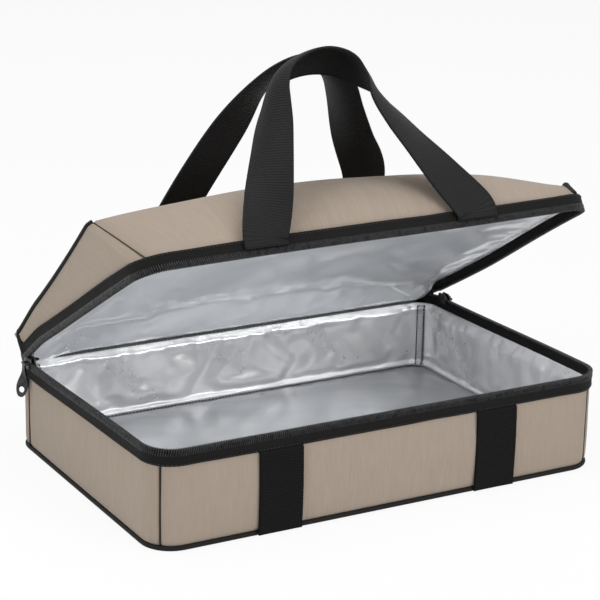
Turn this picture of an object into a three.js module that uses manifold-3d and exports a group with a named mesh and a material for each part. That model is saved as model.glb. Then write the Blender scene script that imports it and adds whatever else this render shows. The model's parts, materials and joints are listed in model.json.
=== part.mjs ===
// An insulated delivery bag: a padded tray with a zipped lid that swings on a fabric hinge, and two webbing handles.
// Millimetres. X runs along the length, Y from front to back, Z up. The origin is on the floor under the tray's middle.
import * as THREE from "three";
import { mergeVertices } from "three/addons/utils/BufferGeometryUtils.js";
import Module from "manifold-3d";

const wasm = await Module();
wasm.setup();

// Overall sizes
const bagLength = 415;
const bagDepth = 275;
const baseHeight = 80; // floor to the line where the zip closes
const cornerRadius = 26; // upright corners, seen from above

// Layers, from the outside in
const fabricThickness = 1.2;
const foamThickness = 5;
const liningThickness = 0.8;
const boardThickness = 1.5;
const layerGap = 0.3; // clearance between layers that are sewn together
const seamGap = 0.8; // between panels that meet at an upright seam
const pipingDiameter = 4;
const wallClear = 0.8; // a wall's end below the layer that it carries

// Zip and fabric hinge
const tapeWidth = 8;
const tapeThickness = 1.2;
const chainWidth = 3.5; // one half of the chain
const chainThickness = 2.2;
const zipGap = 1.2; // between the two halves when the lid is shut
const hingeGap = 0.6; // between the two leaves of the hinge
const endTabLength = 10;

// Lid, shut: its top rises from the hinge to a soft ridge behind the front tape
const lidOpenAngle = 30; // degrees, at rest
const lidBackMargin = 2.2; // back wall left over above the lid's own layers
const lidFrontRise = 31.5; // top edge above the tape, mean of the two front corners
const lidRiseDrop = 23; // left front corner over the right one
const lidRiseArch = 20; // middle of the front edge over its ends
const lidFrontLean = 32.5; // top edge behind the front tape, mean of the two front corners
const lidLeanDrop = 25;
const lidLeanArch = 14;
const lidCrown = 14; // swell of the top panel
const lidFrontBulge = 10; // swell of the front panel

// Webbing
const webbingWidth = 38;
const webbingThickness = 1.8;
const strapSpacing = 200; // between the centre lines of a pair
const strapFloorGap = 0.5;
const frontHandleReach = 138; // sewn end to crest
const frontHandleLean = 2; // degrees, back from the lid's upright
const backHandleReach = 200;
const backHandleLean = 53; // degrees, forward from the lid's upright
const backHandleInset = 88; // sewn end in front of the lid's back edge
const handleTwist = 20; // degrees, at the crest
const tailLift = 0.6; // under the back handle's sewn ends, clear of the crown's facets

// Zip sliders and their pull tabs
const sliderLength = 13;
const sliderHeight = 10;
const sliderPlate = 1.4;
const sliderGap = 0.4; // beside the chain
const sliderWeb = 0.6; // thin wedge between the halves of the chain
const bridgeSpan = 8; // over the two posts that hold the pull's bar
const bridgePost = 1.4;
const barDiameter = 1.8;
const barClearance = 0.3;
const knuckleWall = 1;
const pullLength = 29;
const pullWidth = 9.5;
const pullNeck = 4.6; // width beside the bar
const pullThickness = 1.6;
const pullHole = 5.4;

// Mesh steps
const arcSteps = 3; // in each eighth of a turn of a corner
const lidSteps = 6; // along each straight side of the lid
const wallRows = 3; // up each wall of the lid
const tubeSides = 8;
const ribbonSteps = 28;
const barSides = 12;
const holeSteps = 8;

// Depths below an outer face
const foamDepth = fabricThickness + layerGap;
const liningDepth = foamDepth + foamThickness + layerGap;
const stackDepth = liningDepth + liningThickness;
const pipingDepth = pipingDiameter + layerGap;

// Heights of the tray
const bottomFoamTop = fabricThickness + layerGap + foamThickness;
const boardBottom = bottomFoamTop + layerGap;
const floorBottom = boardBottom + boardThickness + layerGap;
const chainTop = baseHeight - zipGap / 2;
const tapeTop = chainTop - chainWidth - layerGap;
const tapeBottom = tapeTop - tapeWidth;
const wallTop = tapeBottom - layerGap;
const hingeTop = baseHeight - hingeGap / 2;

// The lid mirrors the tray's zip about the closing line
const mirrored = (z) => 2 * baseHeight - z;
const lidRim = mirrored(wallTop);
const lidBackRise = stackDepth + lidBackMargin;

const taupe = new THREE.MeshStandardMaterial({ color: 0xa39684, roughness: 0.85, metalness: 0 });
const black = new THREE.MeshStandardMaterial({ color: 0x17171a, roughness: 0.8, metalness: 0 });
const webbing = new THREE.MeshStandardMaterial({ color: 0x1a1a1c, roughness: 0.75, metalness: 0 });
const foam = new THREE.MeshStandardMaterial({ color: 0xe6e6e2, roughness: 0.9, metalness: 0 });
const foil = new THREE.MeshStandardMaterial({ color: 0xb9bcc0, roughness: 0.3, metalness: 0.85 });
const plastic = new THREE.MeshStandardMaterial({ color: 0x2a2a2c, roughness: 0.6, metalness: 0 });
const gunmetal = new THREE.MeshStandardMaterial({ color: 0x3a3b3e, roughness: 0.35, metalness: 0.9 });

const radians = THREE.MathUtils.degToRad;
const point = (x, y, z) => new THREE.Vector3(x, y, z);

// The four sides, anticlockwise from above, by the compass angle that each faces
const sides = { front: -90, right: 0, back: 90, left: 180 };

// One side of the plan outline at an inset, from the seam in its first corner to the seam in its second.
function sideOutline(side, inset, steps, gap) {
  const facing = radians(sides[side]);
  const out = point(Math.cos(facing), Math.sin(facing), 0);
  const along = point(-out.y, out.x, 0);
  const isLong = Math.abs(out.y) > 0.5;
  const halfRun = (isLong ? bagLength : bagDepth) / 2 - cornerRadius;
  const reach = (isLong ? bagDepth : bagLength) / 2 - cornerRadius;
  const radius = cornerRadius - inset;
  const trim = gap / 2 / cornerRadius;
  const at = (run, turn) =>
    out.clone().multiplyScalar(reach + radius * Math.cos(turn))
      .addScaledVector(along, run + radius * Math.sin(turn));
  const points = [];
  for (let i = 0; i <= arcSteps; i++) points.push(at(-halfRun, (-Math.PI / 4 + trim) * (1 - i / arcSteps)));
  for (let i = 1; i < steps; i++) points.push(at(halfRun * ((2 * i) / steps - 1), 0));
  for (let i = 0; i <= arcSteps; i++) points.push(at(halfRun, (Math.PI / 4 - trim) * (i / arcSteps)));
  return points;
}

// The whole plan outline at an inset, with no point twice.
function ringOutline(inset, steps) {
  return Object.keys(sides).flatMap((side) => sideOutline(side, inset, steps, 0).slice(0, -1));
}

// Three sides in one run, from the seam in the back left corner round the front to the one in the back right.
function zipOutline(inset, steps) {
  const runs = ["left", "front", "right"].map((side) => sideOutline(side, inset, steps, 0));
  return [...runs[0], ...runs[1].slice(1), ...runs[2].slice(1)];
}

// A closed solid through rings of points. A ring's second half mirrors its first, in points and in diagonals,
// so that neighbouring layers share their facets, and opposite points pair up across an end cap.
function loft(rings, isClosed) {
  const count = rings[0].length;
  const index = [];
  const joins = isClosed ? rings.length : rings.length - 1;
  for (let i = 0; i < joins; i++) {
    const here = i * count;
    const next = ((i + 1) % rings.length) * count;
    for (let j = 0; j < count; j++) {
      const k = (j + 1) % count;
      if (j < count / 2) index.push(here + j, here + k, next + k, here + j, next + k, next + j);
      else index.push(here + j, here + k, next + j, here + k, next + k, next + j);
    }
  }
  const cap = (start, isFirst) => {
    for (let j = 0; j < count / 2 - 1; j++) {
      const quad = [j, j + 1, count - 2 - j, count - 1 - j].map((n) => start + n);
      if (isFirst) quad.reverse();
      index.push(quad[0], quad[1], quad[2], quad[0], quad[2], quad[3]);
    }
  };
  if (!isClosed) {
    cap(0, true);
    cap((rings.length - 1) * count, false);
  }
  const vertices = rings.flat();
  const volume = index.reduce((sum, _, i) => {
    if (i % 3) return sum;
    const [a, b, c] = [0, 1, 2].map((n) => vertices[index[i + n]]);
    return sum + a.dot(b.clone().cross(c));
  }, 0);
  if (volume < 0) index.reverse();
  const geometry = new THREE.BufferGeometry().setFromPoints(vertices);
  return geometry.setIndex(index);
}

// A flat plate with the bag's plan outline.
function plate(inset, bottom, thickness) {
  const outline = ringOutline(inset, 1).map((p) => new THREE.Vector2(p.x, p.y));
  const geometry = new THREE.ExtrudeGeometry(new THREE.Shape(outline), { depth: thickness, bevelEnabled: false });
  return geometry.translate(0, 0, bottom);
}

// An upright strip between two insets that follows a plan line.
function uprightStrip(lineAt, outerInset, innerInset, bottom, top) {
  const outer = lineAt(outerInset);
  const inner = lineAt(innerInset);
  return loft(outer.map((p, i) => [
    point(p.x, p.y, bottom),
    point(p.x, p.y, top),
    point(inner[i].x, inner[i].y, top),
    point(inner[i].x, inner[i].y, bottom),
  ]), false);
}

// A round cord along a closed line that lies roughly level.
function cordRing(line, diameter) {
  const up = point(0, 0, 1);
  return loft(line.map((p, i) => {
    const ahead = line[(i + 1) % line.length];
    const behind = line[(i + line.length - 1) % line.length];
    const tangent = ahead.clone().sub(behind).normalize();
    const side = tangent.clone().cross(up).normalize();
    const lift = side.clone().cross(tangent);
    return Array.from({ length: tubeSides }, (_, j) => {
      const angle = (j / tubeSides) * 2 * Math.PI;
      return p.clone()
        .addScaledVector(side, (diameter / 2) * Math.cos(angle))
        .addScaledVector(lift, (diameter / 2) * Math.sin(angle));
    });
  }), true);
}

const bag = new THREE.Group();

function addPiece(parent, name, geometry, material) {
  const mesh = new THREE.Mesh(geometry, material);
  mesh.name = name;
  parent.add(mesh);
}

// Tray: bottom layers
addPiece(bag, "base_bottom_panel", plate(pipingDepth, 0, fabricThickness), taupe);
addPiece(bag, "base_bottom_foam", plate(pipingDepth, foamDepth, foamThickness), foam);
addPiece(bag, "base_floor_board", plate(stackDepth + layerGap, boardBottom, boardThickness), plastic);
addPiece(bag, "base_floor_lining", plate(stackDepth + layerGap, floorBottom, liningThickness), foil);
const bottomPipingLine = ringOutline(pipingDiameter / 2, 1)
  .map((p) => p.setZ(pipingDiameter / 2 + strapFloorGap));
addPiece(bag, "base_bottom_piping", cordRing(bottomPipingLine, pipingDiameter), black);

// Tray: walls
const panelBottom = strapFloorGap + pipingDepth;
for (const side of Object.keys(sides)) {
  const line = (inset) => sideOutline(side, inset, 1, seamGap);
  addPiece(bag, `base_${side}_panel`, uprightStrip(line, 0, fabricThickness, panelBottom, wallTop), taupe);
  const foamInner = foamDepth + foamThickness;
  addPiece(bag, `base_${side}_foam`, uprightStrip(line, foamDepth, foamInner, boardBottom, wallTop), foam);
  addPiece(bag, `base_${side}_lining`, uprightStrip(line, liningDepth, stackDepth, boardBottom, wallTop), foil);
}

// Tray: zip tape, half of the chain, and the lower leaf of the hinge
const zipLine = (inset) => zipOutline(inset, 1);
const backLine = (inset) => sideOutline("back", inset, 1, seamGap);
const chainOuter = (tapeThickness - chainThickness) / 2;
const chainInner = chainOuter + chainThickness;
addPiece(bag, "base_zip_tape", uprightStrip(zipLine, 0, tapeThickness, tapeBottom, tapeTop), black);
addPiece(bag, "base_zip_chain",
  uprightStrip(zipLine, chainOuter, chainInner, chainTop - chainWidth, chainTop), plastic);
addPiece(bag, "base_hinge_leaf", uprightStrip(backLine, 0, tapeThickness, tapeBottom, hingeTop), black);

// Tray: load straps on the front and back walls
for (const [face, outward] of [["front", -1], ["back", 1]]) {
  for (const [hand, sideways] of [["left", -1], ["right", 1]]) {
    const height = wallTop - strapFloorGap;
    const strap = new THREE.BoxGeometry(webbingWidth, webbingThickness, height);
    strap.translate(
      (sideways * strapSpacing) / 2,
      outward * (bagDepth / 2 + layerGap + webbingThickness / 2),
      strapFloorGap + height / 2,
    );
    addPiece(bag, `base_${face}_${hand}_strap`, strap, webbing);
  }
}

// Tray: tabs over the ends of the zip, on the inside of the back corners
for (const [hand, sideways] of [["left", -1], ["right", 1]]) {
  const tab = new THREE.BoxGeometry(endTabLength, tapeThickness, tapeTop - tapeBottom);
  const depth = tapeThickness + layerGap + tapeThickness / 2;
  tab.translate(
    sideways * (bagLength / 2 - cornerRadius - endTabLength / 2),
    bagDepth / 2 - depth,
    (tapeTop + tapeBottom) / 2,
  );
  addPiece(bag, `${hand}_zip_end_tab`, tab, black);
}

// Lid: everything in it is drawn shut, in the tray's frame, and swung open about the hinge
const lidPivot = new THREE.Group();
lidPivot.position.set(0, bagDepth / 2, baseHeight);
lidPivot.rotation.x = -radians(lidOpenAngle);
bag.add(lidPivot);
const lid = new THREE.Group();
lid.position.set(0, -bagDepth / 2, -baseHeight);
lidPivot.add(lid);

// The lid's soft top over a plan point, at a depth below its outer face.
function lidTop(p, depth) {
  const u = p.x / (bagLength / 2);
  const v = p.y / (bagDepth / 2);
  const forward = (1 - v) / 2;
  const middle = 1 - u * u;
  const shape = (mean, drop, arch) => mean + forward * (arch * middle - (drop / 2) * u);
  const lean = forward * shape(lidFrontLean, lidLeanDrop, lidLeanArch);
  const rise = lidBackRise + forward * (shape(lidFrontRise, lidRiseDrop, lidRiseArch) - lidBackRise);
  const crown = lidCrown * middle * (1 - v * v);
  return point(p.x, p.y + lean, lidRim + rise + crown - depth);
}

const frontSlope = Math.atan2(lidFrontRise, lidFrontLean);

// The lid's wall over a plan point: up is 0 at the tape and 1 at the top's outer face.
function lidWall(p, up, bulge) {
  const u = Math.min(1, Math.abs(p.x) / (bagLength / 2 - cornerRadius));
  const swell = bulge * (1 - u * u) * 4 * up * (1 - up);
  return point(p.x, p.y, lidRim).lerp(lidTop(p, 0), up)
    .add(point(0, -swell * Math.sin(frontSlope), swell * Math.cos(frontSlope)));
}

// One wall layer of the lid between two insets, ending at a depth below the top.
function lidWallLayer(side, outerInset, innerInset, topDepth) {
  const bulge = side === "front" ? lidFrontBulge : 0;
  const outer = sideOutline(side, outerInset, lidSteps, seamGap);
  const inner = sideOutline(side, innerInset, lidSteps, seamGap);
  const column = (p) => {
    const rise = lidTop(p, 0).z - lidRim;
    const shared = 1 - (stackDepth + wallClear) / rise;
    const rows = Array.from({ length: wallRows + 1 }, (_, j) => (shared * j) / wallRows);
    if (topDepth < stackDepth + wallClear) rows.push(1 - topDepth / rise);
    return rows.map((up) => lidWall(p, up, bulge));
  };
  return loft(outer.map((p, i) => [...column(p), ...column(inner[i]).reverse()]), false);
}

// One layer of the lid's top, as strips from front to back.
function lidTopLayer(inset, depth, thickness) {
  const halfLength = bagLength / 2 - inset;
  const halfDepth = bagDepth / 2 - inset;
  const radius = cornerRadius - inset;
  const run = halfLength - radius;
  const stations = [];
  for (let i = 0; i <= 2 * arcSteps; i++) {
    const turn = (i / (2 * arcSteps)) * (Math.PI / 2);
    stations.push([-run - radius * Math.cos(turn), halfDepth - radius + radius * Math.sin(turn)]);
  }
  for (let i = 1; i < lidSteps; i++) stations.push([run * ((2 * i) / lidSteps - 1), halfDepth]);
  for (let i = 2 * arcSteps; i >= 0; i--) stations.push([-stations[i][0], stations[i][1]]);
  return loft(stations.map(([x, half]) => {
    const across = Array.from({ length: lidSteps + 1 }, (_, j) => point(x, half * ((2 * j) / lidSteps - 1), 0));
    const upper = across.map((p) => lidTop(p, depth));
    const lower = across.map((p) => lidTop(p, depth + thickness));
    return [...upper, ...lower.reverse()];
  }), false);
}

// Lid: top layers and piping
const topInset = pipingDepth + wallClear;
addPiece(lid, "lid_top_panel", lidTopLayer(topInset, 0, fabricThickness), taupe);
addPiece(lid, "lid_top_foam", lidTopLayer(topInset, foamDepth, foamThickness), foam);
addPiece(lid, "lid_top_lining", lidTopLayer(stackDepth, liningDepth, liningThickness), foil);
const topPipingLine = ringOutline(pipingDiameter / 2, lidSteps).map((p) => lidTop(p, pipingDiameter / 2));
addPiece(lid, "lid_top_piping", cordRing(topPipingLine, pipingDiameter), black);

// Lid: walls
for (const side of Object.keys(sides)) {
  const panelDepth = side === "front" ? pipingDepth * Math.sin(frontSlope) : pipingDepth + wallClear;
  addPiece(lid, `lid_${side}_panel`, lidWallLayer(side, 0, fabricThickness, panelDepth), taupe);
  if (side === "back") continue;
  const foamOuter = foamDepth + layerGap;
  const foamInner = foamDepth + foamThickness;
  addPiece(lid, `lid_${side}_foam`, lidWallLayer(side, foamOuter, foamInner, foamInner + wallClear), foam);
  addPiece(lid, `lid_${side}_lining`, lidWallLayer(side, liningDepth, stackDepth, stackDepth + wallClear), foil);
}

// Lid: zip tape, the other half of the chain, and the upper leaf of the hinge
const lidTapeBottom = mirrored(tapeTop);
const lidTapeTop = mirrored(tapeBottom);
addPiece(lid, "lid_zip_tape", uprightStrip(zipLine, 0, tapeThickness, lidTapeBottom, lidTapeTop), black);
addPiece(lid, "lid_zip_chain",
  uprightStrip(zipLine, chainOuter, chainInner, mirrored(chainTop), mirrored(chainTop - chainWidth)), plastic);
addPiece(lid, "lid_hinge_leaf", uprightStrip(backLine, 0, tapeThickness, mirrored(hingeTop), lidTapeTop), black);

// Lid: sewn ends of the front handle, on the outside of the tape
for (const [hand, sideways] of [["left", -1], ["right", 1]]) {
  const tail = new THREE.BoxGeometry(webbingWidth, webbingThickness, tapeWidth);
  tail.translate(
    (sideways * strapSpacing) / 2,
    -bagDepth / 2 - layerGap - webbingThickness / 2,
    (lidTapeBottom + lidTapeTop) / 2,
  );
  addPiece(lid, `front_handle_${hand}_tail`, tail, webbing);
}

// Lid: sewn ends of the back handle, along the top panel from its back edge to one level line under the handle
const tailSteps = 5;
const tailAcross = (hand, y) => [-1, 0, 1].map((k) => point((hand * strapSpacing + k * webbingWidth) / 2, y, 0));
const tailEnd = bagDepth / 2 - backHandleInset;
const seats = [-1, 1].flatMap((hand) => tailAcross(hand, tailEnd)).map((p) => lidTop(p, -tailLift));
const seatTop = Math.max(...seats.map((p) => p.z));
const seatFront = Math.min(...seats.map((p) => p.y));
for (const [hand, sideways] of [["left", -1], ["right", 1]]) {
  const start = bagDepth / 2 - pipingDepth - layerGap;
  const rings = Array.from({ length: tailSteps + 1 }, (_, i) => {
    const across = tailAcross(sideways, start + ((tailEnd - start) * i) / tailSteps);
    const under = across.map((p) => (i < tailSteps ? lidTop(p, -tailLift) : point(p.x, seatFront, seatTop)));
    const over = under.map((p) => point(p.x, p.y, p.z + webbingThickness));
    return [...under, ...over.reverse()];
  });
  addPiece(lid, `back_handle_${hand}_tail`, loft(rings, false), webbing);
}

// A webbing arch that stands on its two sewn ends at the origin. Its crest turns towards the side that twist gives.
function handleArch(reach, twist) {
  const half = strapSpacing / 2;
  const shoulders = [[1, 0], [0.74, 0.46], [0.5, 0.76], [0.3, 0.93]]; // fractions of the half spacing and the reach
  const left = shoulders.map(([x, z]) => point(-half * x, 0, reach * z));
  const right = shoulders.map(([x, z]) => point(half * x, 0, reach * z)).reverse();
  const curve = new THREE.CatmullRomCurve3([...left, point(0, 0, reach), ...right], false, "centripetal");
  const rings = Array.from({ length: ribbonSteps + 1 }, (_, i) => {
    const along = i / ribbonSteps;
    const centre = curve.getPointAt(along);
    const tangent = curve.getTangentAt(along);
    if (i === 0 || i === ribbonSteps) tangent.set(0, 0, i ? -1 : 1);
    const flat = point(tangent.z, 0, -tangent.x);
    const turn = radians(twist) * Math.sin(Math.PI * along) ** 4;
    const width = flat.multiplyScalar(Math.cos(turn)).add(point(0, -Math.sin(turn), 0));
    const normal = tangent.clone().cross(width);
    const corner = (w, n) => centre.clone()
      .addScaledVector(width, (w * webbingWidth) / 2)
      .addScaledVector(normal, (n * webbingThickness) / 2);
    return [corner(-1, -1), corner(1, -1), corner(1, 1), corner(-1, 1)];
  });
  return loft(rings, false);
}

// Handles, each in a group that swings about the line of its sewn ends, just clear of the tails
const handleLift = layerGap + webbingThickness / 2;
const tailFace = layerGap + webbingThickness;
const frontHandle = new THREE.Group();
frontHandle.position.set(0, -bagDepth / 2 - tailFace - handleLift, lidTapeTop);
frontHandle.rotation.x = -radians(frontHandleLean);
lid.add(frontHandle);
addPiece(frontHandle, "front_handle", handleArch(frontHandleReach, handleTwist), webbing);

const backHandle = new THREE.Group();
backHandle.position.set(0, seatFront, seatTop + webbingThickness + handleLift);
backHandle.rotation.x = radians(backHandleLean);
lid.add(backHandle);
addPiece(backHandle, "back_handle", handleArch(backHandleReach, -handleTwist), webbing);

// Solids that are joined or cut
function solidOf(geometry) {
  const bare = geometry.clone();
  bare.deleteAttribute("normal");
  bare.deleteAttribute("uv");
  const merged = mergeVertices(bare);
  return new wasm.Manifold(new wasm.Mesh({
    numProp: 3,
    vertProperties: merged.attributes.position.array,
    triVerts: new Uint32Array(merged.index.array),
  }));
}

function geometryOf(solid) {
  const mesh = solid.getMesh();
  return new THREE.BufferGeometry()
    .setAttribute("position", new THREE.BufferAttribute(mesh.vertProperties, 3))
    .setIndex(new THREE.BufferAttribute(mesh.triVerts, 1));
}

const boxBetween = (low, high) =>
  new THREE.BoxGeometry(high.x - low.x, high.y - low.y, high.z - low.z)
    .translate((low.x + high.x) / 2, (low.y + high.y) / 2, (low.z + high.z) / 2);

// Sliders straddle the chain on the straight run beside each back corner. Each is drawn for the right-hand side:
// x is 0 at the outer face of the tape and grows outwards, z is 0 at the closing line, y is 0 at the slider's middle.
const outerFace = -chainOuter + sliderGap;
const innerFace = -chainInner - sliderGap;
const barCentre = outerFace + sliderPlate + knuckleWall + barClearance + barDiameter / 2 + layerGap;
const knuckleOuter = barDiameter / 2 + barClearance + knuckleWall;

function sliderPlateShape() {
  const half = sliderLength / 2;
  const tall = sliderHeight / 2;
  const nose = sliderHeight / 4;
  return new THREE.Shape([
    new THREE.Vector2(-half, -nose),
    new THREE.Vector2(-nose, -tall),
    new THREE.Vector2(half - nose / 2, -tall),
    new THREE.Vector2(half, -nose),
    new THREE.Vector2(half, nose),
    new THREE.Vector2(half - nose / 2, tall),
    new THREE.Vector2(-nose, tall),
    new THREE.Vector2(-half, nose),
  ]);
}

// An outline drawn in Y and Z, given a thickness along X.
function acrossX(shape, from, thickness) {
  const turn = new THREE.Matrix4().makeBasis(point(0, 1, 0), point(0, 0, 1), point(1, 0, 0));
  return new THREE.ExtrudeGeometry(shape, { depth: thickness, bevelEnabled: false, curveSegments: holeSteps })
    .applyMatrix4(turn).translate(from, 0, 0);
}

// A round bar along Y.
const barAlongY = (diameter, length, x) =>
  new THREE.CylinderGeometry(diameter / 2, diameter / 2, length, barSides).translate(x, 0, 0);

function sliderBody() {
  const overlap = 0.05; // sunk into its neighbour, so that the union is one body
  const outer = acrossX(sliderPlateShape(), outerFace, sliderPlate);
  const inner = acrossX(sliderPlateShape(), innerFace - sliderPlate, sliderPlate);
  const webLow = point(innerFace - overlap, -sliderLength / 2 + sliderHeight / 4, -sliderWeb / 2);
  const webHigh = point(outerFace + overlap, sliderLength / 2 - sliderHeight / 4, sliderWeb / 2);
  const bar = barAlongY(barDiameter, bridgeSpan - bridgePost, barCentre);
  const posts = [-1, 1].map((k) => {
    const middle = (k * (bridgeSpan - bridgePost)) / 2;
    const low = point(outerFace + sliderPlate - overlap, middle - bridgePost / 2, -barDiameter / 2 - overlap);
    return boxBetween(low, point(barCentre + barDiameter / 2, middle + bridgePost / 2, barDiameter / 2 + overlap));
  });
  return [inner, boxBetween(webLow, webHigh), bar, ...posts]
    .reduce((whole, piece) => whole.add(solidOf(piece)), solidOf(outer));
}

// The pull hangs from the bar: a knuckle round it, a tapering tongue and a round end with a hole.
function pullBody() {
  const neck = pullNeck / 2;
  const round = pullWidth / 2;
  const endCentre = -pullLength + round;
  const tongue = new THREE.Shape();
  tongue.moveTo(neck, -knuckleOuter + knuckleWall / 2);
  tongue.lineTo(-neck, -knuckleOuter + knuckleWall / 2);
  tongue.lineTo(-round, endCentre);
  tongue.absarc(0, endCentre, round, Math.PI, 2 * Math.PI, false);
  tongue.holes.push(new THREE.Path().absarc(0, endCentre, pullHole / 2, 0, 2 * Math.PI, true));
  const blade = acrossX(tongue, barCentre - pullThickness / 2, pullThickness);
  const knuckle = barAlongY(2 * knuckleOuter, pullNeck, barCentre);
  const bore = barAlongY(barDiameter + 2 * barClearance, pullWidth, barCentre);
  return solidOf(blade).add(solidOf(knuckle)).subtract(solidOf(bore));
}

const sliderPlace = bagDepth / 2 - cornerRadius - sliderLength / 2;
for (const [hand, sideways] of [["left", -1], ["right", 1]]) {
  const place = new THREE.Group();
  place.position.set((sideways * bagLength) / 2, sliderPlace, baseHeight);
  place.rotation.z = sideways < 0 ? Math.PI : 0;
  bag.add(place);
  addPiece(place, `${hand}_zip_slider`, geometryOf(sliderBody()), gunmetal);
  addPiece(place, `${hand}_pull_tab`, geometryOf(pullBody()), gunmetal);
}

export default bag;
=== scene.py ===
import json
import math

import bmesh
import bpy
import numpy as np
from mathutils import Matrix, Vector

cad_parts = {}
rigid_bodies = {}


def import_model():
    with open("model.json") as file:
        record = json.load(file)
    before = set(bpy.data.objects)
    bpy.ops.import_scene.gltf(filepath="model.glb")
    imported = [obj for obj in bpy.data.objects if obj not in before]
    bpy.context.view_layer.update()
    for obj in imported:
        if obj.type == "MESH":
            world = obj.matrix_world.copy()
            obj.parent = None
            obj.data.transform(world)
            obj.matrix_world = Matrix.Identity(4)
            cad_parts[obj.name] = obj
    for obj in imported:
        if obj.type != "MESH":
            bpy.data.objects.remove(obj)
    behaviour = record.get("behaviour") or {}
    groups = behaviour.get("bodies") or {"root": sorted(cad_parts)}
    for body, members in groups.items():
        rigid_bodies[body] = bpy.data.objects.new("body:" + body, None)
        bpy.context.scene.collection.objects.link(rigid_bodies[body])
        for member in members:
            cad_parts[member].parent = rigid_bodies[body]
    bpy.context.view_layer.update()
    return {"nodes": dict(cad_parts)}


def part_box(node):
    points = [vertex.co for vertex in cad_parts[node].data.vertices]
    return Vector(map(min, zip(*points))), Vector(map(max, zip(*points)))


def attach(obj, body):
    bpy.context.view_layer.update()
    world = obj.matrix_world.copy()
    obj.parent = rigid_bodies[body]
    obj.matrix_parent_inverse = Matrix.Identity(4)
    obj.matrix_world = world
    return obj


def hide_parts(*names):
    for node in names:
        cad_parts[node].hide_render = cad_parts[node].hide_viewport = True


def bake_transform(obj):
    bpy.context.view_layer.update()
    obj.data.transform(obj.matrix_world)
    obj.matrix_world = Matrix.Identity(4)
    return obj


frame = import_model()
print("frame loaded:", len(frame["nodes"]), "nodes")

# metres and degrees, the same as the solids
bag = {"length": 0.415, "depth": 0.275, "corner": 0.026, "zipLine": 0.080, "lidOpen": 30.0}
halfLength = bag["length"] / 2
halfDepth = bag["depth"] / 2


# shader maths on a socket
class Wire:
    def __init__(self, pen, socket):
        self.pen = pen
        self.socket = socket

    def maths(self, operation, first, second):
        return self.pen.add("Math", {"operation": operation}, {0: first, 1: second})

    def __add__(self, other):
        return self.maths("ADD", self, other)

    def __radd__(self, other):
        return self.maths("ADD", other, self)

    def __sub__(self, other):
        return self.maths("SUBTRACT", self, other)

    def __rsub__(self, other):
        return self.maths("SUBTRACT", other, self)

    def __mul__(self, other):
        return self.maths("MULTIPLY", self, other)

    def __rmul__(self, other):
        return self.maths("MULTIPLY", other, self)


class Pen:
    def __init__(self, owner):
        owner.use_nodes = True
        self.owner = owner   # a material or the world
        self.tree = owner.node_tree
        self.shader = self.tree.nodes.get("Principled BSDF")

    def add(self, kind, settings=None, sockets=None, out=0):
        node = self.tree.nodes.new("ShaderNode" + kind)
        for key, value in (settings or {}).items():
            setattr(node, key, value)
        for key, value in (sockets or {}).items():
            self.plug(value, node.inputs[key])
        return Wire(self, node.outputs[out])

    def plug(self, value, socket):
        if isinstance(value, Wire):
            self.tree.links.new(value.socket, socket)
        else:
            socket.default_value = value

    def feed(self, socket, value):
        self.plug(value, self.shader.inputs[socket])

    def finish(self, colour, roughness, normal=None):
        self.feed("Base Color", colour)
        self.feed("Roughness", roughness)
        if normal is not None:
            self.feed("Normal", normal)
        return self.owner

    def clothUv(self):
        return self.add("UVMap", {"uv_map": "cloth"})

    def objectPlace(self):
        return self.add("TexCoord", out=3)

    def axes(self, vector):
        return [self.add("SeparateXYZ", None, {0: vector}, out) for out in range(3)]

    def noise(self, vector, scale, detail=2.0, roughness=0.5, stretch=(1, 1, 1), distortion=0.0):
        spread = self.add("Mapping", None, {"Vector": vector, "Scale": stretch})
        sockets = {"Vector": spread, "Scale": scale, "Detail": detail, "Roughness": roughness,
                   "Distortion": distortion}
        return self.add("TexNoise", None, sockets)

    def wave(self, value, period):
        return self.add("Math", {"operation": "SINE"}, {0: value * (2 * math.pi / period)}) * 0.5 + 0.5

    def range(self, value, low, high, newLow=0.0, newHigh=1.0):
        names = {"Value": value, "From Min": low, "From Max": high, "To Min": newLow, "To Max": newHigh}
        return self.add("MapRange", {"interpolation_type": "SMOOTHSTEP"}, names)

    def blendColour(self, factor, first, second):
        ends = [c if isinstance(c, Wire) else (*c, 1) for c in (first, second)]
        return self.add("Mix", {"data_type": "RGBA"}, {0: factor, 6: ends[0], 7: ends[1]}, 2)

    def bump(self, height, distance, strength=1.0, under=None):
        sockets = {"Height": height, "Distance": distance, "Strength": strength}
        if under is not None:
            sockets["Normal"] = under
        return self.add("Bump", None, sockets)


def newMaterial(name, **constants):
    pen = Pen(bpy.data.materials.new(name))
    for key, value in constants.items():
        pen.feed(key.replace("_", " "), value)
    return pen


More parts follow.
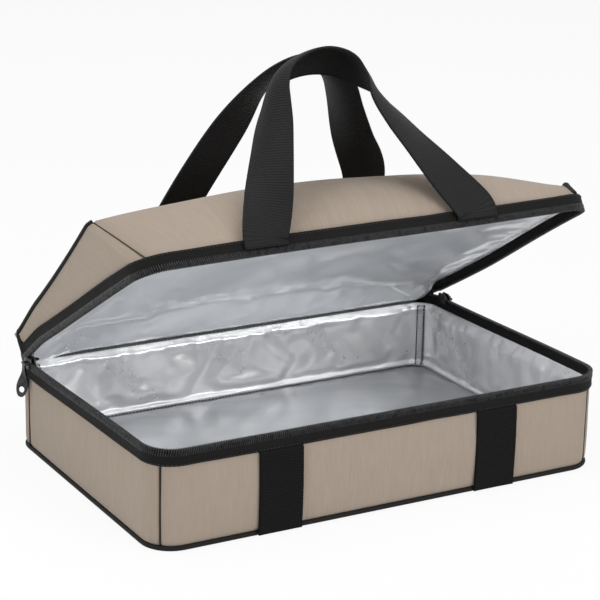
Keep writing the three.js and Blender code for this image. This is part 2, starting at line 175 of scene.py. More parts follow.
# the dark and the light end of each colour
colours = {
    "taupe": ((0.326, 0.264, 0.210), (0.369, 0.305, 0.246)),
    "tape": ((0.0030, 0.0028, 0.0027), (0.0085, 0.0080, 0.0076)),
    "webbing": ((0.0028, 0.0028, 0.0030), (0.0105, 0.0105, 0.0112)),
    "piping": ((0.0032, 0.0029, 0.0027), (0.009, 0.0082, 0.0075)),
    "coil": ((0.014, 0.014, 0.0145), (0.040, 0.040, 0.041)),
    "gunmetal": ((0.034, 0.035, 0.038), (0.075, 0.075, 0.079)),
    "darkThread": ((0.012, 0.012, 0.013), (0.04, 0.04, 0.042)),
    "greyThread": ((0.22, 0.225, 0.235), (0.5, 0.51, 0.53)),
    "board": ((0.015, 0.015, 0.016), (0.028, 0.028, 0.03)),
}
blotchColour = (0.328, 0.268, 0.214)
# each piece gets its own copy of the one foil; the floor, corner tape and hinge binding copies are darker as
# painted shade, for the little light those surfaces get
foils = {
    "wallFoil": {"colour": (0.985, 0.985, 0.99), "roughness": 0.20, "crumple": 0.44, "slope": -38},
    "shadedFloorFoil": {"colour": (0.62, 0.635, 0.66), "roughness": 0.24, "crumple": 0.12, "slope": 24},
    "lidFoil": {"colour": (0.93, 0.945, 0.965), "roughness": 0.21, "crumple": 0.24, "slope": 30},
    "shadedBindingFoil": {"colour": (0.13, 0.135, 0.14), "roughness": 0.34, "crumple": 0.6, "slope": 0},
    "shadedTapeFoil": {"colour": (0.50, 0.51, 0.53), "roughness": 0.26, "crumple": 1.0, "slope": 0},
}


def makeTaupeCloth():
    pen = newMaterial("taupeCloth", Specular_IOR_Level=0.2, Sheen_Weight=0.12, Sheen_Roughness=0.5)
    cloth = pen.clothUv()
    across, up, _ = pen.axes(cloth)
    slubs = pen.noise(cloth, 620, 3, 0.6, (1, 0.05, 1))
    threads = pen.noise(cloth, 1500, 2, 0.6, (1, 0.06, 1))
    weft = pen.noise(cloth, 1300, 2, 0.6, (0.06, 1, 1))
    blotch = pen.noise(cloth, 14, 3, 0.55)
    tone = pen.range(slubs * 0.55 + threads * 0.3 + weft * 0.15, 0.32, 0.68)
    yarn = pen.blendColour(tone, *colours["taupe"])
    colour = pen.blendColour(pen.range(blotch, 0.35, 0.75) * 0.35, yarn, blotchColour)
    weave = pen.wave(across, 0.0009) * pen.wave(up, 0.0009) + slubs * 0.6
    relief = pen.bump(weave, 0.00022, 0.6, pen.bump(blotch, 0.0018, 0.35))
    return pen.finish(colour, 0.78 + tone * 0.14, relief)


def makeBlackTape():
    pen = newMaterial("blackTape", Specular_IOR_Level=0.14)
    cloth = pen.clothUv()
    ribs = pen.wave(pen.axes(cloth)[0], 0.0011)
    fuzz = pen.noise(cloth, 900, 2, 0.6)
    wear = pen.noise(cloth, 30, 3, 0.6)
    colour = pen.blendColour(pen.range(ribs * 0.5 + fuzz * 0.5, 0.2, 0.9), *colours["tape"])
    return pen.finish(colour, 0.62 + wear * 0.2, pen.bump(ribs + fuzz * 0.5, 0.00025, 0.7))


def makeWebbing(name, shade):
    pen = newMaterial(name, Specular_IOR_Level=0.18 * shade)
    cloth = pen.clothUv()
    across, along, _ = pen.axes(cloth)
    ribs = pen.wave(along + pen.noise(cloth, 60, 2, 0.5) * 0.0006, 0.0021)
    warp = pen.wave(across, 0.0014)
    fuzz = pen.noise(cloth, 1100, 2, 0.6)
    tone = pen.range(ribs * 0.6 + warp * 0.2 + fuzz * 0.3, 0.15, 1.0)
    dark, light = (tuple(c * shade for c in end) for end in colours["webbing"])
    relief = pen.bump(ribs * 0.8 + warp * 0.35 + fuzz * 0.3, 0.0004, 0.8)
    return pen.finish(pen.blendColour(tone, dark, light), 0.5 + fuzz * 0.25, relief)


def makeFoil(name, colour, roughness, crumple, slope):
    pen = newMaterial(name, Metallic=0.58)
    cloth = pen.clothUv()
    turned = pen.add("Mapping", None, {"Vector": cloth, "Rotation": (0, 0, math.radians(slope))})
    streaks = pen.noise(turned, 22, 2, 0.5, (0.22, 1, 1), 0.15)
    crinkle = pen.noise(cloth, 70, 1, 0.4)
    satin = pen.noise(cloth, 130, 1, 0.4)
    # the darker end, used for the streaks' random tone and for the painted shade
    streakAndShadeTone = tuple(c * 0.80 for c in colour)
    paintedSideShade = pen.range(pen.axes(pen.objectPlace())[0], -0.16, 0.24, 0.0, 0.34)   # darker towards +x: painted shade, so the left of each foil piece looks more lit
    tint = pen.blendColour(pen.range(streaks, 0.30, 0.68) - paintedSideShade, streakAndShadeTone, colour)
    relief = pen.bump(streaks, 0.0050, 0.5, pen.bump(crinkle, 0.0014, crumple))
    return pen.finish(tint, roughness + streaks * 0.14 + satin * 0.06, relief)


def makePipingCloth():
    pen = newMaterial("pipingCloth", Specular_IOR_Level=0.18)
    cloth = pen.clothUv()
    along, around, _ = pen.axes(cloth)
    twill = pen.wave(along + around, 0.0012)
    fuzz = pen.noise(cloth, 800, 2, 0.6)
    colour = pen.blendColour(pen.range(twill + fuzz, 0.3, 1.5), *colours["piping"])
    return pen.finish(colour, 0.55 + fuzz * 0.2, pen.bump(twill, 0.00015, 0.6))


def makeCoilPlastic():
    pen = newMaterial("coilPlastic", Specular_IOR_Level=0.3)
    grime = pen.noise(pen.objectPlace(), 300, 3, 0.6)
    colour = pen.blendColour(pen.range(grime, 0.3, 0.7), *colours["coil"])
    return pen.finish(colour, 0.22 + grime * 0.14, pen.bump(grime, 0.00008, 0.5))


def makeGunmetal():
    pen = newMaterial("gunmetal", Metallic=0.95)
    place = pen.objectPlace()
    scratches = pen.noise(place, 900, 3, 0.6, (1, 1, 0.15))
    wear = pen.noise(place, 160, 3, 0.6)
    colour = pen.blendColour(pen.range(wear, 0.4, 0.75), *colours["gunmetal"])
    return pen.finish(colour, 0.26 + scratches * 0.16, pen.bump(scratches, 0.00004, 0.5))


def makeThread(name):
    pen = newMaterial(name, Specular_IOR_Level=0.35)
    ply = pen.noise(pen.objectPlace(), 1600, 2, 0.6)
    return pen.finish(pen.blendColour(pen.range(ply, 0.3, 0.7), *colours[name]), 0.5 + ply * 0.2)


def makeBoard():
    pen = newMaterial("floorBoard", Specular_IOR_Level=0.4)
    grain = pen.noise(pen.objectPlace(), 500, 3, 0.6)
    colour = pen.blendColour(grain, *colours["board"])
    return pen.finish(colour, 0.5 + grain * 0.2, pen.bump(grain, 0.0001, 0.5))


taupeCloth = makeTaupeCloth()
blackTape = makeBlackTape()
blackWebbing = makeWebbing("blackWebbing", 1.0)
# the straps get a copy of the handles' webbing at half brightness: painted shade
shadedStrapWebbing = makeWebbing("shadedStrapWebbing", 0.5)
wallFoil, shadedFloorFoil, lidFoil, shadedBindingFoil, shadedTapeFoil = (makeFoil(name, **foils[name]) for name in foils)
pipingCloth = makePipingCloth()
coilPlastic = makeCoilPlastic()
gunmetal = makeGunmetal()
darkThread = makeThread("darkThread")
greyThread = makeThread("greyThread")
floorBoard = makeBoard()
print("materials ready")


# shapes that many pieces share
def dense(a, pull):
    return a - pull * np.sin(2 * np.pi * a) / (2 * np.pi)   # more columns near both ends


def smooth(x, low, high):
    t = np.clip((x - low) / (high - low), 0, 1)
    return t * t * (3 - 2 * t)


def hump(x, centre, width):
    return np.exp(-((x - centre) / width) ** 2)


def lumps(u, v, cell, seed):
    table = np.random.default_rng(seed).uniform(-1, 1, (97, 97))   # soft random hills, -1 to 1
    x, y = u / cell, v / cell
    i, j = np.floor(x).astype(int), np.floor(y).astype(int)
    fx, fy = x - i, y - j
    fx, fy = fx * fx * (3 - 2 * fx), fy * fy * (3 - 2 * fy)
    pick = lambda di, dj: table[(i + di) % 97, (j + dj) % 97]
    low = pick(0, 0) * (1 - fx) + pick(1, 0) * fx
    high = pick(0, 1) * (1 - fx) + pick(1, 1) * fx
    return low * (1 - fy) + high * fy


def twoLumps(u, v, coarse, fine):
    return lumps(u, v, *coarse) + 0.5 * lumps(u, v, *fine)   # each is a cell size and a seed


def scatterFolds(seed, count, u, v, angle, length, width, height):
    draw = np.random.default_rng(seed)
    columns = [draw.uniform(*pair, count) for pair in (u, v, angle, length, width, height)]
    return list(zip(*columns))


def foldHeight(u, v, folds):
    total = np.zeros_like(u)
    for fu, fv, angle, length, width, height in folds:
        turn = math.radians(angle)
        du, dv = u - fu, v - fv
        along = (du * math.cos(turn) + dv * math.sin(turn)) / length
        across = (dv * math.cos(turn) - du * math.sin(turn)) / width
        total += height * np.exp(-4 * along ** 2) * np.maximum(0, 1 - np.abs(across)) ** 1.6
    return total


cornerLength = math.pi * bag["corner"] / 2
runX = halfLength - bag["corner"]
runY = halfDepth - bag["corner"]
# distances along the outline from the middle of the back edge, anticlockwise from above
outlineStops = np.cumsum([0, runX, cornerLength, 2 * runY, cornerLength, 2 * runX, cornerLength, 2 * runY,
                          cornerLength, runX])
outlineLength = outlineStops[-1]
cornerNames = ("BackLeft", "FrontLeft", "FrontRight", "BackRight")
cornerMids = [outlineStops[k] + cornerLength / 2 for k in (1, 3, 5, 7)]
# the back panel is sewn on past the corners, and the front right seam sits early in its corner
seamShift = {"back": 0.002, "frontRight": 0.4}
panelSeams = [outlineStops[2] + seamShift["back"], cornerMids[1],
              outlineStops[5] + seamShift["frontRight"] * cornerLength, outlineStops[7] - seamShift["back"]]


def outlineGap(s, place):
    return np.abs(np.mod(s - place + outlineLength / 2, outlineLength) - outlineLength / 2)


def outlineAt(s, inset, radius=bag["corner"]):
    s = np.mod(np.asarray(s, float), outlineLength)
    x, y, nx, ny = (np.zeros_like(s) for _ in range(4))
    inset = np.zeros_like(s) + inset
    cx, cy = halfLength - radius, halfDepth - radius
    centres = [(-cx, cy), (-cx, -cy), (cx, -cy), (cx, cy)]
    for k in range(9):
        here = (s >= outlineStops[k]) & (s <= outlineStops[k + 1])
        part = (s[here] - outlineStops[k]) / (outlineStops[k + 1] - outlineStops[k])
        if k % 2:
            angle = math.pi / 2 * (1 + k // 2 + part)
            centre = np.array(centres[k // 2])[:, None]
        else:
            angle = math.pi / 2 * (1 + k // 2) + 0 * part
            first = np.array((0, cy) if k == 0 else centres[k // 2 - 1])[:, None]
            last = np.array((0, cy) if k == 8 else centres[k // 2])[:, None]
            centre = first * (1 - part) + last * part
        nx[here], ny[here] = np.cos(angle), np.sin(angle)
        x[here] = centre[0] + (radius - inset[here]) * nx[here]
        y[here] = centre[1] + (radius - inset[here]) * ny[here]
    return x, y, nx, ny


def planAt(a, b, inset, pull=0.75, radius=bag["corner"]):
    x = (2 * dense(a, pull) - 1) * (halfLength - inset)   # a square grid spread over the rounded plan
    past = np.maximum(0, np.abs(x) - (halfLength - radius))
    reach = halfDepth - radius + np.sqrt(np.maximum(0, (radius - inset) ** 2 - past ** 2))
    return x, (2 * dense(b, pull) - 1) * reach


def edgeDistance(x, y, inset, radius=bag["corner"]):
    qx, qy = np.abs(x) - (halfLength - radius), np.abs(y) - (halfDepth - radius)
    outside = np.hypot(np.maximum(qx, 0), np.maximum(qy, 0)) + np.minimum(np.maximum(qx, qy), 0)
    return radius - inset - outside


def stack(x, y, z):
    return np.stack([x, y, z + np.zeros_like(x)], -1)


def onOutline(s, inset, z):
    x, y, _, _ = outlineAt(s, inset)
    return stack(x, y, z)


def readPoints(mesh):
    points = np.empty(len(mesh.vertices) * 3)
    mesh.vertices.foreach_get("co", points)
    return points.reshape(-1, 3)


def writePoints(mesh, points):
    mesh.vertices.foreach_set("co", points.astype(float).ravel())


def addObject(name, data):
    holder = bpy.data.objects.new(name, data)
    bpy.context.scene.collection.objects.link(holder)
    return holder


def keepForm(form, name, material, mesh=None):
    for face in form.faces:
        face.smooth = True
    mesh = mesh or bpy.data.meshes.new(name)
    form.to_mesh(mesh)
    form.free()
    mesh.materials.append(material)
    return addObject(name, mesh)


def makeCloth(name, cols, rows, place, spans, material, closedU=False, closedV=False, flip=False,
              capped=False):
    form = bmesh.new()
    form.loops.layers.uv.new("cloth")
    bmesh.ops.create_grid(form, x_segments=cols, y_segments=rows, size=0.5, calc_uvs=True)
    mesh = bpy.data.meshes.new(name)
    form.to_mesh(mesh)
    grid = readPoints(mesh) + 0.5
    writePoints(mesh, place(grid[:, 0], grid[:, 1]))
    layer = mesh.uv_layers["cloth"].data
    uv = np.empty(len(layer) * 2)
    layer.foreach_get("uv", uv)
    layer.foreach_set("uv", (uv.reshape(-1, 2) * spans).ravel())
    form.clear()
    form.from_mesh(mesh)
    if closedU or closedV:
        bmesh.ops.remove_doubles(form, verts=form.verts, dist=1e-6)
    if flip:
        bmesh.ops.reverse_faces(form, faces=form.faces)
    if capped:
        bmesh.ops.holes_fill(form, edges=[e for e in form.edges if e.is_boundary], sides=0)
    if capped or closedU and closedV:
        bmesh.ops.recalc_face_normals(form, faces=form.faces)
    return keepForm(form, name, material, mesh)


def thicken(piece, thickness, offset=-1.0):
    solid = piece.modifiers.new("thickness", "SOLIDIFY")
    solid.thickness = thickness
    solid.offset = offset
    return piece


def subdivide(piece, levels=1):
    finer = piece.modifiers.new("finer", "SUBSURF")
    finer.levels = finer.render_levels = levels


def makeTube(name, cols, sides, line, radius, spans, material, closed=True):
    def place(a, b):
        step = 0.25 / cols
        tangent = line(a + step) - line(a - step)
        tangent /= np.linalg.norm(tangent, axis=-1, keepdims=True)
        side = np.cross(tangent, np.array([0.23, 0.11, 0.97]))   # a direction that no piping runs along
        side /= np.linalg.norm(side, axis=-1, keepdims=True)
        lift = np.cross(side, tangent)
        angle = (2 * np.pi * b)[:, None]
        return line(a) + radius * (np.cos(angle) * side + np.sin(angle) * lift)
    return makeCloth(name, cols, sides, place, spans, material, closed, True, capped=not closed)


def finishPiece(piece, body, slot, *nodes):
    if body:
        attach(piece, body)
    if nodes:
        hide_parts(*nodes)


def sew(name, line, length, stitch, thread, body, slot):
    count = int(length / stitch["pitch"])
    a = (np.arange(count) + 0.5) / count
    steps = line(a + 0.2 / count) - line(a - 0.2 / count)
    size = Matrix.Diagonal((stitch["length"] / 2, stitch["radius"], stitch["radius"], 1))
    form = bmesh.new()
    for point, step in zip(line(a), steps):
        turn = Vector(step).to_track_quat("X", "Z").to_matrix().to_4x4()
        spot = Matrix.Translation(Vector(point)) @ turn @ size
        bmesh.ops.create_icosphere(form, subdivisions=1, radius=1, matrix=spot)
    finishPiece(keepForm(form, name, thread), body, slot)


# the lid's shape when shut, and how far it is open at rest
lidForm = {"rim": 0.0927, "backRise": 0.0098, "frontRise": 0.0315, "riseDrop": 0.023, "riseArch": 0.020,
           "lean": 0.0325, "leanDrop": 0.025, "leanArch": 0.014, "crown": 0.014, "bulge": 0.010,
           "depth": 0.0076, "ridgeCorner": 0.012, "skew": 0.009, "sag": 0.005, "leftLean": 0.030,
           "leftRise": 0.008, "rightDrop": 0.007, "cornerDrop": 0.0065, "backTuck": 0.0045}


def lidTop(x, y, depth):
    u, v = x / halfLength, y / halfDepth
    forward = (1 - v) / 2
    middle = 1 - u * u
    left = smooth(-u, 0.60, 1.0)
    shape = lambda mean, drop, arch: mean + forward * (arch * middle - drop / 2 * u)
    lean = shape(lidForm["lean"], lidForm["leanDrop"], lidForm["leanArch"]) + lidForm["leftLean"] * left
    rise = shape(lidForm["frontRise"], lidForm["riseDrop"], lidForm["riseArch"]) - lidForm["backRise"]
    rise = rise - lidForm["rightDrop"] * smooth(u, 0.55, 1.0) + lidForm["leftRise"] * left
    height = lidForm["backRise"] + forward * rise + lidForm["crown"] * middle * (1 - v * v)
    tuck = lidForm["backTuck"] * smooth(u, 0.90, 1.0) * smooth(v, 0.80, 1.0)   # at the back right corner
    return stack(x - tuck, y + forward * lean - tuck, lidForm["rim"] + height - depth)


def lidWall(s, inset, up, bulge):
    x, y, _, _ = outlineAt(s, inset)
    ridgeX, ridgeY, _, _ = outlineAt(s, inset, lidForm["ridgeCorner"])
    u = np.minimum(1, np.abs(x) / runX)
    swell = bulge * (1 - u * u) * 4 * up * (1 - up)
    slope = math.atan2(lidForm["frontRise"], lidForm["lean"])
    point = stack(x, y, lidForm["rim"]) * (1 - up)[:, None] + lidTop(ridgeX, ridgeY, 0) * up[:, None]
    return point + stack(0 * swell, -swell * math.sin(slope), swell * math.cos(slope))


def lidSag(x, y):
    u, v = np.clip(x / halfLength, -1, 1), (halfDepth - y) / bag["depth"]
    near = smooth(v, 0.0, 0.10) * (1.6 - 0.6 * smooth(v, 0.2, 0.9))
    side = np.where(u < 0, near, near * (1 - smooth(v, 0.35, 1.0)))
    corner = lidForm["cornerDrop"] * smooth(-u, 0.72, 1.0) * (1 - smooth(v, 0.04, 0.26))
    return corner + lidForm["sag"] * (0.5 * smooth(v, 0.3, 1.0) * (1 - u * u) + side * u * u)


def lidOpened(point):
    turn = math.radians(bag["lidOpen"])
    dy, dz = point[..., 1] - halfDepth, point[..., 2] - bag["zipLine"]
    x = point[..., 0] - lidForm["skew"] * dy / bag["depth"]   # the soft lid hangs a little to one side
    y = halfDepth + dy * math.cos(turn) + dz * math.sin(turn)
    z = bag["zipLine"] + dz * math.cos(turn) - dy * math.sin(turn)
    return np.stack([x, y, z - lidSag(point[..., 0], point[..., 1])], -1)


# tray: padded outer panels, seams and piping
trayPanel = {"bottom": 0.0036, "top": 0.0690, "inset": 0.0003, "padding": 0.0050, "puff": 0.0014,
             "seamRoll": 0.0022, "footTuck": 0.0022, "topTuck": 0.0004, "ripple": 0.0005, "span": 0.066}
sideNames = ["left", "front", "right", "back"]
sideEnds = [(panelSeams[k], panelSeams[(k + 1) % 4] + (outlineLength if k == 3 else 0)) for k in range(4)]
sideColumns = [120 if end - start < 0.3 else 170 for start, end in sideEnds]
seamTurn = 0.0013
gather = 0.93   # how much closer a panel's columns lie at its seams


def seamRoll(fromSeam, roll):
    return roll * np.exp(-fromSeam / seamTurn)   # a panel's edge turns in at the seam


for number, (side, (start, end)) in enumerate(zip(sideNames, sideEnds)):
    length = end - start

    def panelAt(a, b, start=start, length=length, number=number):
        along = dense(a, gather) * length
        z = trayPanel["bottom"] + b * (trayPanel["top"] - trayPanel["bottom"])
        fromSeam = np.minimum(along, length - along)
        puff = trayPanel["puff"] * np.sin(np.pi * b) * smooth(fromSeam, 0.012, 0.07)
        ripple = trayPanel["ripple"] * twoLumps(along, z, (0.034, 11 + number), (0.015, 31 + number))
        tuck = trayPanel["footTuck"] * np.exp(-b / 0.03) + trayPanel["topTuck"] * np.exp(-(1 - b) / 0.05)
        inset = trayPanel["inset"] - puff - ripple * np.sin(np.pi * b) + tuck
        return onOutline(start + along, inset + seamRoll(fromSeam, trayPanel["seamRoll"]), z)

    name = "tray" + side.capitalize() + "Panel"
    panel = makeCloth(name, sideColumns[number], 26, panelAt, (length, trayPanel["span"]), taupeCloth)
    thicken(panel, trayPanel["padding"])
    finishPiece(panel, "base", "taupe_fabric", f"base_{side}_panel", f"base_{side}_foam")

# a thin dark cord in each tray corner seam: partly the seam's own dark line, partly painted shade of the
# groove between the panels
seamShadeCord = {"diameter": 0.0011, "inset": 0.0011, "spans": (0.065, 0.004)}
for corner, s in zip(cornerNames, panelSeams):
    foot = onOutline(np.array([s]), seamShadeCord["inset"], 0.0)[0]

    def cordAt(a, b, foot=foot):
        angle = 2 * np.pi * b
        radius = seamShadeCord["diameter"] / 2
        z = trayPanel["bottom"] + a * (trayPanel["top"] - trayPanel["bottom"])
        return stack(foot[0] + radius * np.cos(angle), foot[1] + radius * np.sin(angle), z)

    seam = makeCloth("traySeam" + corner, 12, 8, cordAt, seamShadeCord["spans"], pipingCloth, False, True,
                     capped=True)
    finishPiece(seam, "base", "black_tape")

piping = {"diameter": 0.0042, "inset": 0.0018, "height": 0.0024, "span": 0.013}


def bottomLine(a):
    return onOutline(a * outlineLength, piping["inset"], piping["height"])


bottomPiping = makeTube("bottomPiping", 360, 12, bottomLine, piping["diameter"] / 2,
                        (outlineLength, piping["span"]), pipingCloth)
finishPiece(bottomPiping, "base", "black_tape", "base_bottom_piping")

underside = {"inset": 0.0034, "thickness": 0.0060, "low": 0.0001, "edgeLift": 0.0014, "edgeWidth": 0.003,
             "spans": (0.408, 0.268)}


def undersideAt(a, b):
    x, y = planAt(a, b, underside["inset"])
    fromEdge = edgeDistance(x, y, underside["inset"])
    return stack(x, y, underside["low"] + underside["edgeLift"] * np.exp(-fromEdge / underside["edgeWidth"]))


bottomPanel = makeCloth("bottomPanel", 90, 64, undersideAt, underside["spans"], taupeCloth, flip=True)
thicken(bottomPanel, underside["thickness"])
finishPiece(bottomPanel, "base", "taupe_fabric", "base_bottom_panel", "base_bottom_foam")
print("tray shell done")


# foil that is held at its seams and a little too big
foilSheet = {"thickness": 0.0006, "frames": 24, "scale": 10, "quality": 5, "mass": 0.15, "stiffness": 25,
             "shear": 12, "damping": 3, "rounds": 4}


def settleCloth(piece, held, grow, bend, gravity, cap, outward):
    mesh = piece.data
    start = readPoints(mesh)
    normals = np.empty(len(start) * 3)
    mesh.vertex_normals.foreach_get("vector", normals)
    normals = normals.reshape(-1, 3)
    writePoints(mesh, start * foilSheet["scale"])   # the solver is steadier on a larger copy
    group = piece.vertex_groups.new(name="held")
    weights = np.round(held(start), 1)
    for weight in np.unique(weights):
        if weight > 0:
            group.add(np.nonzero(weights == weight)[0].tolist(), float(weight), "REPLACE")
    cloth = piece.modifiers.new("settle", "CLOTH")
    settings = cloth.settings
    settings.quality = foilSheet["quality"]
    settings.mass = foilSheet["mass"]
    settings.tension_stiffness = settings.compression_stiffness = foilSheet["stiffness"]
    settings.shear_stiffness = foilSheet["shear"]
    settings.bending_stiffness = bend
    settings.air_damping = foilSheet["damping"]
    settings.vertex_group_mass = "held"
    settings.shrink_min = settings.shrink_max = -grow
    settings.effector_weights.gravity = gravity
    cloth.point_cache.frame_start, cloth.point_cache.frame_end = 1, foilSheet["frames"]
    scene = bpy.context.scene
    for number in range(1, foilSheet["frames"] + 1):
        scene.frame_set(number)
    settled = piece.evaluated_get(bpy.context.evaluated_depsgraph_get()).data
    move = readPoints(settled) / foilSheet["scale"] - start
    piece.modifiers.remove(cloth)
    scene.frame_set(1)
    edges = np.empty(len(mesh.edges) * 2, int)
    mesh.edges.foreach_get("vertices", edges)
    ends = edges.reshape(-1, 2)
    near = np.bincount(edges, minlength=len(start))[:, None]
    for _ in range(foilSheet["rounds"]):   # evens out buckles no wider than a face
        total = np.zeros_like(move)
        np.add.at(total, ends[:, 0], move[ends[:, 1]])
        np.add.at(total, ends[:, 1], move[ends[:, 0]])
        move = (move + total / near) / 2
    length = np.linalg.norm(move, axis=1, keepdims=True)
    move *= cap * np.tanh(length / cap) / np.maximum(length, 1e-9)
    behind = np.minimum(0, np.sum(move * normals, 1, keepdims=True) + outward)
    move -= behind * normals
    print(piece.name, "settled, mean move", round(float(length.mean()) * 1000, 2), "mm")
    writePoints(mesh, start + move)
    mesh.update()


# tray: foil lining
liner = {"floor": 0.0098, "seam": 0.0092, "wallTop": 0.062, "rimTop": 0.0722, "inset": 0.0082,
         "rimInset": 0.0044, "footInset": 0.0008, "wallShare": 0.8, "rimShare": 0.2,
         "bead": 0.0022, "beadHeight": 0.0128, "beadWidth": 0.0022,
         "backWallTop": 0.060, "backTop": 0.0718, "backInset": 0.0056,
         "backRoll": 0.0026, "rollHeight": 0.0672, "rollWidth": 0.0034,
         "slack": 0.0014, "rightFold": 0.0020, "gather": 0.0007, "rightGather": 0.0009, "cornerSeam": 0.0127}


def linerPoint(s, rise):
    back = 1 - smooth(outlineGap(s, 0), runX + 0.2 * cornerLength, runX + 0.9 * cornerLength)
    wall = np.clip(rise / liner["wallShare"], 0, 1)
    turn = np.clip((rise - liner["wallShare"]) / liner["rimShare"], 0, 1) * np.pi / 2
    seam, flat = liner["seam"], liner["inset"]
    climb = lambda wallTop, top: seam + wall * (wallTop - seam) + np.sin(turn) * (top - wallTop)
    z = climb(liner["wallTop"], liner["rimTop"])
    zBack = climb(liner["backWallTop"], liner["backTop"])
    inset = flat + liner["footInset"] * (1 - wall) - (1 - np.cos(turn)) * (flat - liner["rimInset"])
    insetBack = flat - (1 - np.cos(turn)) * (flat - liner["backInset"])
    roll = liner["backRoll"] * hump(zBack, liner["rollHeight"], liner["rollWidth"])
    z = z * (1 - back) + zBack * back
    inset = inset * (1 - back) + (insetBack + roll) * back
    inset += liner["bead"] * hump(z, liner["beadHeight"], liner["beadWidth"])   # welt above the floor seam
    fromSeam = np.min([outlineGap(s, c) for c in cornerMids], 0)
    free = smooth(z, 0.014, 0.024) * (1 - smooth(z, 0.064, 0.071)) * smooth(fromSeam, 0.003, 0.02)
    slant = lumps(s + 0.7 * z, s * 0.35 - 0.6 * z, 0.016, 43)
    slant = slant + 0.7 * lumps(s - 0.8 * z, s * 0.3 + z, 0.023, 44)
    gathered = smooth(z, 0.05, 0.066) * (1 - smooth(z, 0.0695, 0.0735)) * smooth(fromSeam, 0.002, 0.008)
    rightStart, rightEnd = outlineStops[6], outlineStops[7]
    right = smooth(s, rightStart, rightStart + 0.02) * (1 - smooth(s, rightEnd - 0.02, rightEnd))
    folds = liner["rightFold"] * right * (1 + lumps(s + 0.8 * z, 0.2 * z, 0.021, 47))
    inset += free * (liner["slack"] * (1 + 0.6 * slant) + folds)
    puckers = 1 + lumps(s, z * 0.35, 0.0055, 42)
    inset += (liner["gather"] + liner["rightGather"] * right) * gathered * puckers
    return onOutline(s, inset, z)


def linerAt(a, b):
    return linerPoint(cornerMids[1] + a * outlineLength, dense(b, 0.35))


def linerHeld(points):
    x, y, z = np.abs(points[:, 0]), points[:, 1], points[:, 2]
    fromSeam = np.hypot(x - (runX + liner["cornerSeam"]), np.abs(y) - (runY + liner["cornerSeam"]))
    back = smooth(y, runY, halfDepth - 0.012)
    top = smooth(z, 0.066 + 0.003 * back, 0.0695 + 0.003 * back)
    return np.maximum.reduce([top, 1 - smooth(z, 0.0145, 0.0165), 1 - smooth(fromSeam, 0.002, 0.006)])


trayLiner = makeCloth("trayLiner", 460, 34, linerAt, (outlineLength, 0.080), wallFoil, True, False, True)
settleCloth(trayLiner, linerHeld, grow=0.012, bend=0.7, gravity=0.15, cap=0.005, outward=0.0014)
subdivide(trayLiner)
thicken(trayLiner, foilSheet["thickness"])
finishPiece(trayLiner, "base", "foil", "base_front_lining", "base_right_lining", "base_back_lining",
            "base_left_lining")

floorForm = {"inset": 0.0082, "pucker": 0.0006, "swell": 0.0006, "edgeDrop": 0.0008, "spans": (0.399, 0.259)}
floorFolds = scatterFolds(9, 26, (-0.18, 0.18), (-0.11, 0.11), (-40, 60), (0.04, 0.10), (0.012, 0.03),
                          (0.0004, 0.0012))


def floorAt(a, b):
    x, y = planAt(a, b, floorForm["inset"])
    fromEdge = edgeDistance(x, y, floorForm["inset"])
    free = smooth(fromEdge, 0.004, 0.02)
    pucker = floorForm["pucker"] * (lumps(x + y, x - y, 0.008, 51) + 1) * hump(fromEdge, 0.006, 0.006)
    swell = free * (floorForm["swell"] * (1 + lumps(x, y, 0.05, 52)) + foldHeight(x, y, floorFolds))
    return stack(x, y, liner["floor"] + swell + pucker - floorForm["edgeDrop"] * np.exp(-fromEdge / 0.0015))


floorLiner = makeCloth("floorLiner", 150, 104, floorAt, floorForm["spans"], shadedFloorFoil)
thicken(floorLiner, foilSheet["thickness"])
finishPiece(floorLiner, "base", "foil", "base_floor_lining")

# bound upright seams in the lining's corners
seamTape = {"width": 0.0068, "lift": 0.0012, "least": 0.0004, "thickness": 0.0005, "span": 0.07,
            "sewnLength": 0.062, "threadLift": 0.0003}
seamStitch = {"pitch": 0.0030, "length": 0.0030, "radius": 0.0009}
for corner, s in zip(cornerNames, cornerMids):
    _, _, nx, ny = (float(v[0]) for v in outlineAt(np.array([s]), 0.0))
    inward = np.array([-nx, -ny, 0])

    def seamTapeAt(a, b, s=s, inward=inward):
        point = linerPoint(s + (a - 0.5) * seamTape["width"] * 1.4, 0.05 + b * 0.88)
        lift = seamTape["lift"] * (1 - (2 * a - 1) ** 4) + seamTape["least"]
        return point + inward * lift[:, None]

    binding = makeCloth("linerSeamTape" + corner, 10, 40, seamTapeAt, (seamTape["width"], seamTape["span"]),
                        shadedTapeFoil, flip=True)
    thicken(binding, seamTape["thickness"], 1.0)
    finishPiece(binding, "base", "foil")
    for edge, share in (("A", 0.04), ("B", 0.96)):

        def seamTapeLine(a, share=share, inward=inward, place=seamTapeAt):
            return place(0 * a + share, a) + inward * seamTape["threadLift"]

        sew("linerSeamStitches" + corner + edge, seamTapeLine, seamTape["sewnLength"], seamStitch, darkThread,
            "base", "foil")

# stitches above the floor seam
floorStitch = {"pitch": 0.0034, "length": 0.0023, "radius": 0.00045, "inset": 0.0012, "height": 0.0104}


def floorStitchLine(a):
    return onOutline(a * outlineLength, liner["inset"] + floorStitch["inset"], floorStitch["height"])


sew("floorSeamStitches", floorStitchLine, outlineLength, floorStitch, darkThread, "base", "foil")
print("tray lining done")


